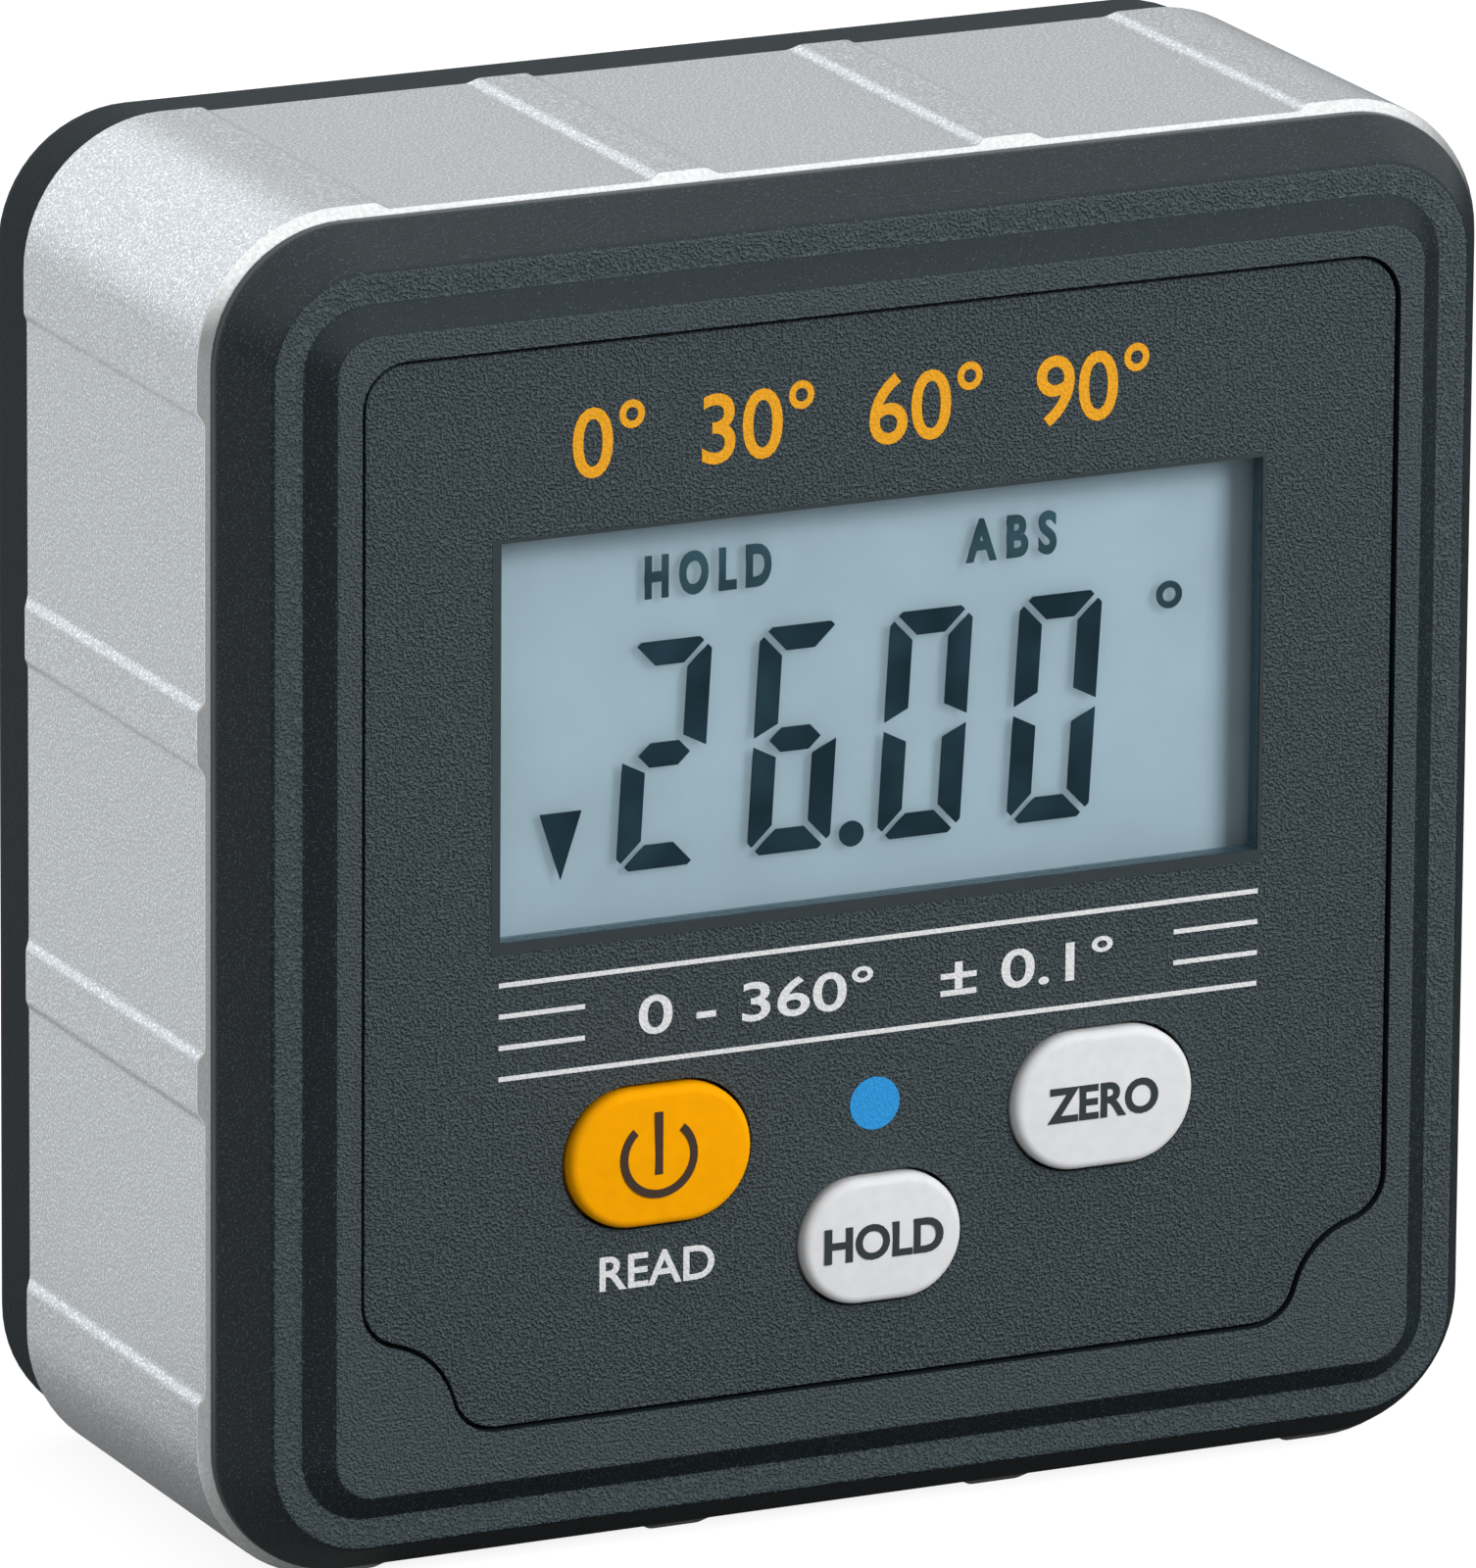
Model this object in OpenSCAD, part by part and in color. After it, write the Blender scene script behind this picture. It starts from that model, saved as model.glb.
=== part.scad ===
// Digital angle gauge: a ribbed aluminium frame with four measuring faces, a stepped front
// bezel with display and keys, and a rear cover with a battery bay.
// Millimetres. +Z is up, the display faces -Y, and the origin is the middle of the base.

/* [Frame] */
// Length of the extrusion between bezel and rear cover
frame_depth = 18.9; // [18:0.1:26]
// Wall of the frame at its ribs
frame_wall = 3.6; // [3.2:0.1:3.8]
// Outer corner radius of the frame
corner_r = 6.3; // [5.2:0.1:8]
// Width of the raised zone at each corner
corner_zone = 8.33; // [7:0.01:10]
// Width of each raised rib
rib_w = 2.67; // [1.5:0.01:4]
// Depth of the recesses between the ribs
recess = 0.25; // [0.1:0.05:0.45]
// Width of a rib's sloping flank
flank = 0.4; // [0.2:0.05:0.8]
// Radius of the soft edges of a flank
flank_r = 0.6; // [0.2:0.05:0.8]
// Chamfer on the end edges of the frame
edge_chamfer = 0.45; // [0.2:0.05:0.6]

/* [Base magnets] */
// Diameter of a magnet
magnet_d = 8; // [5:0.5:11]
// Thickness of a magnet
magnet_t = 2.2; // [1.2:0.1:2.4]
// How far a magnet's face lies below the recess
magnet_sink = 0.15; // [0.05:0.05:0.3]
// Room round a magnet for glue
magnet_gap = 0.1; // [0.05:0.05:0.2]

/* [Front bezel] */
// How far the bezel and cover stand back from the frame's outline
bezel_step = 0.47; // [0.3:0.01:0.8]
// Height of the surround above the frame
bezel_h = 3.75; // [3.4:0.05:5]
// Height of the upright base strip
strip_h = 0.45; // [0.3:0.05:0.8]
// Height of the land between the two slopes
land_h = 2.9; // [2:0.05:3.1]
// Run of the steep outer slope
slope_run = 1.6; // [0.9:0.05:2]
// Width of the land
land_w = 1.3; // [0.8:0.05:1.6]
// Run of the inner slope up to the surround
rise_run = 1.15; // [0.6:0.05:1.3]
// Radius of the soft edges
soft_r = 0.4; // [0.1:0.05:0.4]
// Thickness of the web behind the panel
web_t = 1; // [0.8:0.1:1.6]

/* [Spigots and screws] */
// How far bezel and cover reach into the frame
spigot_depth = 2.4; // [1.5:0.1:3]
// Wall of a spigot
spigot_wall = 1.4; // [1:0.1:1.8]
// Clearance between a spigot and the frame
spigot_clear = 0.15; // [0.05:0.05:0.3]
// Diameter of the bosses that take the cover screws
boss_d = 5.6; // [5:0.1:6]
// Gap between a boss and the inner face of the frame
boss_gap = 0.2; // [0.1:0.05:1]
// Length of a boss behind the frame's front face
boss_reach = 8.6; // [7:0.1:9]
// Core diameter of a cover screw
screw_d = 2.2; // [1.8:0.1:2.5]
// Diameter of a cover screw's head
head_d = 4.2; // [3.6:0.1:4.6]
// Height of a cover screw's head
head_h = 1.6; // [1.2:0.1:1.9]
// Depth of the cover's hole above a screw head
head_sink = 0.8; // [0.3:0.1:1.2]
// Clearance between a screw and its hole
screw_clear = 0.05; // [0.02:0.01:0.15]
// Core diameter of a board screw
board_screw_d = 1.6; // [1.2:0.1:2]
// Diameter of a board screw's head
board_head_d = 3.2; // [2.6:0.1:4]
// Distance of the board screws from the middle, sideways
board_screw_x = 14; // [12:0.5:16]
// Gap between the display and the standoffs of the board screws
standoff_gap = 0.8; // [0.3:0.1:1.6]

/* [Front panel] */
// Strip of surround beside the panel
panel_side = 1.3; // [0.9:0.05:2]
// Strip of surround above the panel
panel_top = 1.37; // [0.9:0.01:2]
// Strip of surround below the panel
panel_bottom = 2.41; // [1.6:0.01:3]
// Thickness of the panel
panel_t = 0.9; // [0.6:0.05:1]
// How far the panel's face lies below the surround
panel_sink = 0.12; // [0.05:0.01:0.4]
// Groove between panel and surround
panel_gap = 0.2; // [0.1:0.01:0.25]
// Radius of the panel's upper corners
panel_r = 1.8; // [1:0.1:2.6]
// Radius of the hollow in each lower corner
hollow_r = 3.8; // [3:0.1:4.4]
// Place of the hollow's centre, in from the corner
hollow_in = 0.5; // [0.2:0.05:1]
// Radius where the hollow runs into the straight sides
hollow_soft = 1.9; // [1.2:0.1:2.4]

/* [Display] */
// Width of the window
window_w = 35.2; // [30:0.1:36]
// Height of the window
window_h = 17.25; // [13:0.05:17.6]
// Height of the window's middle above the middle of the face
window_z = 6.97; // [6.6:0.01:7.3]
// Radius of the window's corners
window_r = 0.25; // [0.15:0.05:1]
// How far the lens lies below the panel's face
lens_sink = 0.1; // [0.05:0.05:0.2]
// Clearance round the lens, the glass and the light guide
display_clear = 0.05; // [0.03:0.01:0.1]
// Thickness of each display glass
glass_t = 0.35; // [0.3:0.05:0.7]
// Overlap of the display glass beyond the window
glass_lap = 1.6; // [1:0.1:2]
// Width of the contact ledge below the rear glass
ledge_w = 3; // [2.4:0.1:3.2]
// Thickness of the reflector
reflector_t = 0.2; // [0.1:0.05:0.3]
// Gap between rear glass and reflector
reflector_gap = 0.05; // [0.03:0.01:0.2]
// Thickness of the light guide
guide_t = 3.6; // [3.4:0.1:4.4]
// Width of the contact strip
strip_w = 1.8; // [1.2:0.1:2]

/* [Keys] */
// Width of the power and zero keys
key_w = 8.4; // [7.5:0.1:9.5]
// Height of the power and zero keys
key_h = 6; // [5:0.1:6.4]
// Width of the hold key
hold_w = 7.4; // [6.5:0.1:8.5]
// Height of the hold key
hold_h = 5.5; // [4.6:0.1:6]
// Distance of the power and zero keys from the middle
key_x = 10.3; // [10:0.1:11.5]
// Distance of the power and zero keys below the middle of the face
key_drop = 11.6; // [11.5:0.1:12.5]
// Distance of the hold key below the middle of the face
hold_drop = 16.5; // [15.6:0.1:16.8]
// How far a key stands above the panel
key_rise = 0.57; // [0.5:0.01:1.2]
// Radius of a key's upper edge
key_soft = 0.4; // [0.3:0.05:0.8]
// Crown of a key's upper face
key_crown = 0.1; // [0:0.02:0.15]
// Gap round a key
key_gap = 0.15; // [0.1:0.05:0.25]
// Width of the flange that keeps a key in
key_lap = 0.6; // [0.4:0.1:0.8]
// Thickness of a key's flange
key_flange_t = 0.8; // [0.6:0.1:1]
// Play of a key's flange behind the web
key_play = 0.1; // [0.05:0.05:0.2]
// Travel of a key
key_travel = 0.5; // [0.2:0.05:0.6]

/* [Board] */
// Thickness of the board
board_t = 1.6; // [1:0.1:2]
// Gap between the board and the spigot round it
board_gap = 0.5; // [0.3:0.1:1]
// Gap between board and light guide
board_play = 0.1; // [0.05:0.05:0.2]
// Side of the microcontroller
controller_w = 9; // [6:0.5:12]
// Side of the tilt sensor
sensor_w = 5; // [3:0.5:8]
// Width of the radio module
radio_w = 10; // [8:0.5:14]
// Height of the radio module
radio_h = 8; // [6:0.5:12]
// Thickness of the parts on the board
chip_t = 1.4; // [0.8:0.1:1.8]
// Distance of the parts on the board from its middle, sideways
chip_x = 9; // [7:0.5:12]
// Height of the microcontroller and the tilt sensor above the middle
chip_z = 5; // [3:0.5:8]
// Distance of the radio module below the middle
radio_drop = 9; // [8:0.5:12]
// Side of a switch body
switch_w = 4.5; // [4:0.1:5]
// Height of a switch body
switch_h = 1.8; // [1.4:0.1:2.2]
// Diameter of a switch plunger
plunger_d = 2.2; // [1.6:0.1:2.6]
// Gap round a plunger in its switch
plunger_gap = 0.2; // [0.1:0.05:0.3]
// How deep a plunger sits in its switch at rest
plunger_in = 0.4; // [0.3:0.05:0.5]
// Floor left under a pressed plunger
switch_floor = 0.3; // [0.2:0.05:0.4]

/* [Rear cover] */
// How far the cover stands behind the frame
rear_depth = 4.3; // [3.9:0.1:7]
// Radius of the cover's rear edge
rear_r = 1.2; // [0.4:0.1:1.6]
// Thickness of the cover's back
rear_wall = 1.8; // [1.8:0.1:2.2]
// Wall of the battery bay
bay_wall = 1.2; // [0.8:0.1:1.4]
// Thickness of the battery door
door_t = 1.6; // [1.2:0.1:1.6]
// Ledge that the door rests on, beside the bay
door_lap = 0.9; // [0.6:0.1:1.1]
// Gap round the door
door_gap = 0.15; // [0.1:0.05:0.3]
// Diameter of the door's finger dimple
dimple_d = 12; // [8:0.5:14]
// Depth of the finger dimple
dimple_h = 0.8; // [0.4:0.1:1]
// Radius of the nail notch beside the door
notch_r = 5; // [3:0.5:7]
// How far the nail notch reaches past the door
notch_out = 1.4; // [0.8:0.1:2]
// Radius of the door's corners
door_r = 2; // [1:0.1:3]

/* [Cells] */
// Diameter of a cell
cell_d = 10.5; // [9:0.1:10.6]
// Length of a cell with its terminal
cell_l = 44.5; // [40:0.1:44.8]
// Gap round a cell
cell_gap = 0.3; // [0.2:0.05:0.4]
// Height of a cell's terminal
terminal_h = 0.9; // [0.6:0.1:1.2]
// Diameter of a cell's terminal
terminal_d = 3.8; // [3:0.1:4.5]
// Length of a contact spring under load
spring_l = 3.1; // [2:0.1:3.2]
// Wire of a contact spring
wire_d = 0.5; // [0.3:0.05:0.6]
// Outer diameter of a contact spring at its foot
spring_d = 6.4; // [5:0.1:8]
// Room between the battery bay and the frame at each end of the cells
bay_room = 0.5; // [0.3:0.1:6]
// Thickness of the contact plates
contact_t = 0.4; // [0.2:0.05:0.5]
// Side of a contact plate
contact_w = 8.4; // [6:0.1:9]

/* [Hidden] */
$fn = 48;

// A cut runs this far past the face that it opens
past = 0.5;

// Battery bay
cell_z = cell_d / 2 + cell_gap;
bay_x = (cell_l + spring_l) / 2 + contact_t;
bay_z = cell_z + cell_d / 2 + cell_gap;

// Frame, sized round the battery bay, and the ring inside it
inner = bay_x + bay_wall + bay_room;
half = inner + frame_wall;
face = 2 * half;
recess_w = (face - 2 * corner_zone - 2 * rib_w) / 3;
recess_pitch = recess_w + rib_w;
inner_r = corner_r - frame_wall;
spigot = inner - spigot_clear;
spigot_r = max(inner_r - spigot_clear, soft_r);
hollow = spigot - spigot_wall;
boss_c = inner - boss_gap - boss_d / 2;

// Bezel outline, shared by the rear cover
bezel_half = half - bezel_step;
bezel_r = corner_r - bezel_step;
surround_in = slope_run + land_w + rise_run;
surround = bezel_half - surround_in;

// Depths, from the frame's front face towards the back
y_panel = panel_sink - bezel_h;
y_web = y_panel + panel_t;
y_hollow = y_web + web_t;
y_key = y_panel - key_rise;
y_glass = y_web + display_clear;
y_cell_gap = y_glass + glass_t;
y_reflector = y_cell_gap + glass_t + reflector_gap;
y_guide = y_reflector + reflector_t;
y_board = y_guide + guide_t + board_play;
y_board_back = y_board + board_t;
y_flange = y_hollow + key_play;
y_plunger = y_flange + key_flange_t;
y_switch = y_board - switch_h;
y_back = frame_depth + rear_depth;
y_door = y_back - door_t;
y_axis = y_door - cell_gap - cell_d / 2;
y_bay = y_axis - cell_d / 2 - cell_gap;
y_head = y_back - head_sink - head_h;
depth = y_back - y_key;

// Panel and display
panel_half = surround - panel_side;
panel_high = surround - panel_top;
panel_low = surround - panel_bottom;
glass_w = window_w + 2 * glass_lap;
glass_high = window_z + window_h / 2 + glass_lap;
glass_low = window_z - window_h / 2 - glass_lap;
ledge_low = glass_low - ledge_w;
standoff_d = board_screw_d + 2 * screw_clear + 2 * web_t;
board_screw_z = glass_high + standoff_gap + standoff_d / 2;

// Keys, as [x, z, width, height]
POWER = [-key_x, -key_drop, key_w, key_h];
HOLD = [0, -hold_drop, hold_w, hold_h];
ZERO = [key_x, -key_drop, key_w, key_h];
KEYS = [POWER, HOLD, ZERO];

// Colours
SILVER = "#b9c0c4";
SLATE = "#343b3e";
PANEL = "#3e4447";
AMBER = "#f0a010";
IVORY = "#e2e3e5";
STEEL = "#9aa0a6";

// Points of an arc round c with radius r, from angle a to angle b
function arc(c, r, a, b, n = 8) =
    [for (i = [0 : n]) let (t = a + (b - a) * i / n) c + r * [cos(t), sin(t)]];

function unit(v) = v / norm(v);

// Points that round the corner p, between its neighbours a and b, with radius r
function soft_corner(a, p, b, r, n = 4) =
    let (u = unit(a - p), v = unit(b - p), w = acos(u * v) / 2)
    let (c = p + unit(u + v) * r / sin(w), s = p + u * r / tan(w) - c, e = p + v * r / tan(w) - c)
    let (from = atan2(s[1], s[0]), turn = atan2(s[0] * e[1] - s[1] * e[0], s * e))
    arc(c, r, from, from + turn, n);

// Moves a piece from the middle of the frame's front face to the middle of the base
module placed() {
    translate([0, -y_key - depth / 2, half]) children();
}

// A flat shape, seen from the front, as a slab between two depths
module slab(from, to) {
    translate([0, to, 0]) rotate([90, 0, 0]) linear_extrude(to - from) children();
}

// A round bar along the depth
module rod(at, d, from, to) {
    translate([at[0], to, at[1]]) rotate([90, 0, 0]) cylinder(d = d, h = to - from);
}

// A rectangle with round corners
module rounded(w, h, r) {
    square([w, h - 2 * r], center = true);
    square([w - 2 * r, h], center = true);
    for (x = [-1, 1], y = [-1, 1]) translate([x * (w / 2 - r), y * (h / 2 - r)]) circle(r);
}

// The four corners of a square pattern
module at_corners(c) {
    for (x = [-1, 1], z = [-1, 1]) translate([x * c, 0, z * c]) children();
}

// A block with round corners whose rim follows a list of [inset, height] points, swept round it
module moulded_block(w, h, r, rim) {
    x = w / 2 - r;
    y = h / 2 - r;
    top = rim[len(rim) - 1][1];
    section = concat([[0, 0]], [for (p = rim) [r - p[0], p[1]]], [[0, top]]);
    linear_extrude(top) square([2 * x, 2 * y], center = true);
    for (s = [0, 180]) rotate(s) {
        translate([x, 0, 0]) rotate([90, 0, 0]) linear_extrude(2 * y, center = true) polygon(section);
        rotate(90) translate([y, 0, 0]) rotate([90, 0, 0])
            linear_extrude(2 * x, center = true) polygon(section);
        translate([x, y, 0]) rotate_extrude(angle = 90) polygon(section);
        translate([-x, y, 0]) rotate(90) rotate_extrude(angle = 90) polygon(section);
    }
}

// Rim of the bezel: base strip, steep slope, land, inner slope and flat surround
function bezel_rim() =
    let (base = [0, 0], strip = [0, strip_h], out = [slope_run, land_h])
    let (in = [slope_run + land_w, land_h - soft_r / 3], top = [surround_in, bezel_h])
    concat([base], soft_corner(base, strip, out, soft_r), soft_corner(strip, out, in, soft_r),
        soft_corner(out, in, top, soft_r), soft_corner(in, top, [bezel_r, bezel_h], soft_r),
        [[bezel_r, bezel_h]]);

// Rim of the rear cover: straight wall and round rear edge
function rear_rim() = concat([[0, 0]],
    soft_corner([0, 0], [0, rear_depth], [bezel_r, rear_depth], rear_r, 6), [[bezel_r, rear_depth]]);

// Rim of the frame: both end edges chamfered
function frame_rim() = [[edge_chamfer, 0], [0, edge_chamfer], [0, frame_depth - edge_chamfer],
    [edge_chamfer, frame_depth], [corner_r, frame_depth]];

// Rim of a key: upright side, soft edge and a slight crown
function key_rim(r, h) =
    let (edge = [0, h - key_crown])
    concat([[0, 0]], soft_corner([0, 0], edge, [r, h], key_soft, 6), [[r, h]]);

// Lower left corner of the panel, measured from the corner point: soft turn, hollow, soft turn
function hollow_corner(in, r, soft) =
    let (reach = in + sqrt(pow(r + soft, 2) - pow(soft - in, 2)))
    let (turn = atan2(reach - in, soft - in))
    concat(arc([soft, reach], soft, 180, 180 + turn), arc([in, in], r, turn, 90 - turn),
        arc([reach, soft], soft, 270 - turn, 270));

// Outline of the panel, grown by a gap for the recess that takes it
function panel_outline(grow = 0) =
    let (w = panel_half + grow, high = panel_high + grow, low = panel_low + grow, r = panel_r + grow)
    let (corner = hollow_corner(hollow_in + grow, hollow_r - grow, hollow_soft + grow), n = len(corner) - 1)
    concat([for (p = corner) [p[0] - w, p[1] - low]],
        [for (i = [0 : n]) [w - corner[n - i][0], corner[n - i][1] - low]],
        arc([w - r, high - r], r, 0, 90), arc([r - w, high - r], r, 90, 180));

// Openings of the panel and the web for the keys
module key_openings() {
    for (k = KEYS) translate([k[0], k[1]])
        rounded(k[2] + 2 * key_gap, k[3] + 2 * key_gap, k[3] / 2 - display_clear + key_gap);
}

module display_rect(low, high, w) {
    translate([-w / 2, low]) square([w, high - low]);
}

// Soft flank of a recess, from the face of the rib down to the floor
function flank_curve() =
    let (edge = [-(recess_w + flank) / 2, 0], foot = [-(recess_w - flank) / 2, recess])
    concat(soft_corner(edge - [rib_w, 0], edge, foot, flank_r, 3),
        soft_corner(edge, foot, foot + [recess_w / 2, 0], flank_r, 3));

// Section of the frame: three recesses between ribs on each side
module frame_section() {
    curve = flank_curve();
    n = len(curve) - 1;
    mirrored = [for (i = [0 : n]) [-curve[n - i][0], curve[n - i][1]]];
    difference() {
        rounded(face, face, corner_r);
        for (s = [0 : 3], i = [-1 : 1]) rotate(90 * s) translate([i * recess_pitch, -half])
            polygon(concat(curve, mirrored, [[0, -past]]));
        rounded(2 * inner, 2 * inner, inner_r);
    }
}

module frame() {
    magnet_top = recess + magnet_sink + magnet_t;
    color(SILVER) placed() difference() {
        intersection() {
            slab(0, frame_depth) frame_section();
            translate([0, frame_depth, 0]) rotate([90, 0, 0])
                moulded_block(face, face, corner_r, frame_rim());
        }
        for (x = [-1, 1]) translate([x * recess_pitch, frame_depth / 2, -half - past])
            cylinder(d = magnet_d + 2 * magnet_gap, h = magnet_top + past);
    }
}

module base_magnets() {
    color(STEEL) placed() for (x = [-1, 1])
        translate([x * recess_pitch, frame_depth / 2, -half + recess + magnet_sink])
            cylinder(d = magnet_d, h = magnet_t);
}

// Places of the four board screws, as [x, z]
BOARD_SCREWS = [for (x = [-1, 1], z = [-1, 1]) [x * board_screw_x, z * board_screw_z]];

module front_bezel() {
    color(SLATE) placed() difference() {
        union() {
            difference() {
                union() {
                    rotate([90, 0, 0])
                        moulded_block(2 * bezel_half, 2 * bezel_half, bezel_r, bezel_rim());
                    slab(-land_h / 2, spigot_depth) rounded(2 * spigot, 2 * spigot, spigot_r);
                }
                slab(y_hollow, spigot_depth + past) square(2 * hollow, center = true);
            }
            at_corners(boss_c) rod([0, 0], boss_d, y_hollow - web_t / 2, boss_reach);
            for (p = BOARD_SCREWS) rod(p, standoff_d, y_hollow - web_t / 2, y_board);
        }
        slab(-bezel_h - past, y_web) polygon(panel_outline(panel_gap));
        slab(y_web - past, y_hollow + past)
            display_rect(ledge_low - display_clear, glass_high + display_clear, glass_w + 2 * display_clear);
        slab(y_web - past, y_hollow + past) key_openings();
        at_corners(boss_c) rod([0, 0], screw_d + 2 * screw_clear, y_hollow + web_t, boss_reach + past);
        for (p = BOARD_SCREWS) rod(p, board_screw_d + 2 * screw_clear, y_hollow, y_board + past);
    }
}

module front_panel() {
    color(PANEL) placed() slab(y_panel, y_web) difference() {
        polygon(panel_outline());
        translate([0, window_z]) rounded(window_w, window_h, window_r);
        key_openings();
    }
}

module display_lens() {
    color("#dfeaf0", 0.4) placed() slab(y_panel + lens_sink, y_web) translate([0, window_z])
        rounded(window_w - 2 * display_clear, window_h - 2 * display_clear, window_r - display_clear);
}

module lcd_front_glass() {
    color("#c9d8de", 0.5) placed() slab(y_glass, y_cell_gap) display_rect(ledge_low, glass_high, glass_w);
}

module lcd_rear_glass() {
    color("#b4c6ce", 0.5) placed()
        slab(y_cell_gap, y_cell_gap + glass_t) display_rect(glass_low, glass_high, glass_w);
}

module lcd_reflector() {
    color("#a3bac6") placed() slab(y_reflector, y_guide) display_rect(glass_low, glass_high, glass_w);
}

module light_guide() {
    color("#e8eef0") placed() slab(y_guide, y_guide + guide_t) display_rect(glass_low, glass_high, glass_w);
}

module contact_strip() {
    low = (glass_low + ledge_low - strip_w) / 2;
    color("#d98a8a") placed() slab(y_cell_gap, y_board) display_rect(low, low + strip_w, window_w);
}

module main_board() {
    side = 2 * (hollow - board_gap);
    notch = boss_c - boss_d / 2 - board_gap;
    color("#1f6b3f") placed() slab(y_board, y_board_back) difference() {
        square(side, center = true);
        for (s = [0 : 3]) rotate(90 * s) translate([notch, notch]) square(half);
        for (p = BOARD_SCREWS) translate(p) circle(d = board_screw_d + 2 * screw_clear);
    }
}

// A flat component on the back of the board, with a chamfered top
module component(at, size) {
    bevel = size[2] / 6;
    rim = [[0, 0], [0, size[2] - bevel], [bevel, size[2]], [2 * bevel, size[2]]];
    translate([at[0], y_board_back, at[1]]) rotate([-90, 0, 0])
        moulded_block(size[0], size[1], 2 * bevel, rim);
}

module microcontroller() {
    color("#222629") placed() component([-chip_x, chip_z], [controller_w, controller_w, chip_t]);
}

module tilt_sensor() {
    color("#3a3f44") placed() component([chip_x, chip_z], [sensor_w, sensor_w, chip_t]);
}

module radio_module() {
    color("#6a7178") placed() component([chip_x, -radio_drop], [radio_w, radio_h, chip_t]);
}

// A key cap with its flange
module key_cap(key) {
    r = key[3] / 2 - display_clear;
    translate([key[0], 0, key[1]]) {
        translate([0, y_flange, 0]) rotate([90, 0, 0])
            moulded_block(key[2], key[3], r, key_rim(r, y_flange - y_key));
        slab(y_flange, y_plunger) rounded(key[2] + 2 * key_lap, key[3] + 2 * key_lap, r + key_lap);
    }
}

module power_key() { color(AMBER) placed() key_cap(POWER); }
module hold_key() { color(IVORY) placed() key_cap(HOLD); }
module zero_key() { color(IVORY) placed() key_cap(ZERO); }

// A switch plunger, from the key's flange into the switch body
module plunger(key) {
    color("#5a5e62") placed() rod([key[0], key[1]], plunger_d, y_plunger, y_switch + plunger_in);
}

module power_plunger() { plunger(POWER); }
module hold_plunger() { plunger(HOLD); }
module zero_plunger() { plunger(ZERO); }

// A switch body on the board, with room for its plunger's travel
module switch_body(key) {
    color("#2b2f33") placed() difference() {
        slab(y_switch, y_board) translate([key[0], key[1]]) square(switch_w, center = true);
        rod([key[0], key[1]], plunger_d + 2 * plunger_gap, y_switch - past, y_board - switch_floor);
    }
}

module power_switch() { switch_body(POWER); }
module hold_switch() { switch_body(HOLD); }
module zero_switch() { switch_body(ZERO); }

// A screw that points to the front, with a cross recess in its head
module screw(at, d, wide, high, tip, seat) {
    slot = wide / 7;
    difference() {
        union() {
            rod(at, d, tip, seat + high / 2);
            rod(at, wide, seat, seat + high);
        }
        for (a = [0, 90]) translate([at[0], seat + high, at[1]]) rotate([0, a, 0])
            cube([wide * 0.6, high, slot], center = true);
    }
}

module board_screws() {
    tip = y_hollow + web_t;
    color(STEEL) placed() for (p = BOARD_SCREWS)
        screw(p, board_screw_d, board_head_d, board_head_d / 3, tip, y_board_back);
}

module cover_screws() {
    tip = y_hollow + 2 * web_t;
    color(STEEL) placed() for (x = [-1, 1], z = [-1, 1])
        screw([x * boss_c, z * boss_c], screw_d, head_d, head_h, tip, y_head);
}

// Outline of the battery door, grown by a gap for its rebate
module door_outline(grow = 0) {
    rounded(2 * (bay_x + door_lap + grow), 2 * (bay_z + door_lap + grow), door_r + grow);
}

module rear_cover() {
    shell = [2 * (bay_x + bay_wall), 2 * (bay_z + bay_wall)];
    color(SLATE) placed() difference() {
        union() {
            difference() {
                union() {
                    translate([0, frame_depth, 0]) rotate([-90, 0, 0])
                        moulded_block(2 * bezel_half, 2 * bezel_half, bezel_r, rear_rim());
                    slab(frame_depth - spigot_depth, frame_depth + rear_wall / 2)
                        rounded(2 * spigot, 2 * spigot, spigot_r);
                }
                slab(frame_depth - spigot_depth - past, y_back - rear_wall) square(2 * hollow, center = true);
            }
            slab(y_bay - bay_wall, y_door) square(shell, center = true);
            at_corners(boss_c) rod([0, 0], boss_d, boss_reach, y_back - rear_wall / 2);
        }
        slab(y_bay, y_back + past) square([2 * bay_x, 2 * bay_z], center = true);
        slab(y_door, y_back + past) door_outline(door_gap);
        slab(y_back - dimple_h, y_back + past) translate([0, bay_z + door_lap + notch_out - notch_r])
            circle(notch_r);
        at_corners(boss_c) {
            rod([0, 0], screw_d + 4 * screw_clear, boss_reach - past, y_back);
            rod([0, 0], head_d + 4 * screw_clear, y_head, y_back + past);
        }
    }
}

module battery_door() {
    rib = door_t / 2;
    dimple_r = (pow(dimple_d / 2, 2) + pow(dimple_h, 2)) / (2 * dimple_h);
    color(SLATE) placed() difference() {
        union() {
            slab(y_door, y_back) door_outline();
            for (x = [-1, 1]) translate([x * bay_x / 2, 0, 0]) slab(y_door - cell_gap / 2, y_door)
                square([rib, 2 * (bay_z - cell_gap)], center = true);
        }
        translate([0, y_back - dimple_h + dimple_r, bay_z - dimple_d / 2]) sphere(dimple_r, $fn = 128);
    }
}

// A cell along X with its terminal towards +X, centred on its length
module cell() {
    r = cell_d / 2;
    body = cell_l - terminal_h;
    edge = cell_gap;
    outline = concat([[0, 0], [r - edge, 0]], arc([r - edge, edge], edge, -90, 0, 4),
        arc([r - edge, body - edge], edge, 0, 90, 4), [[terminal_d / 2, body], [terminal_d / 2, cell_l],
        [0, cell_l]]);
    translate([-cell_l / 2, 0, 0]) rotate([0, 90, 0]) rotate_extrude() polygon(outline);
}

module upper_cell() {
    color("#4d7a94") placed() translate([spring_l / 2, y_axis, cell_z]) cell();
}

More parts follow.
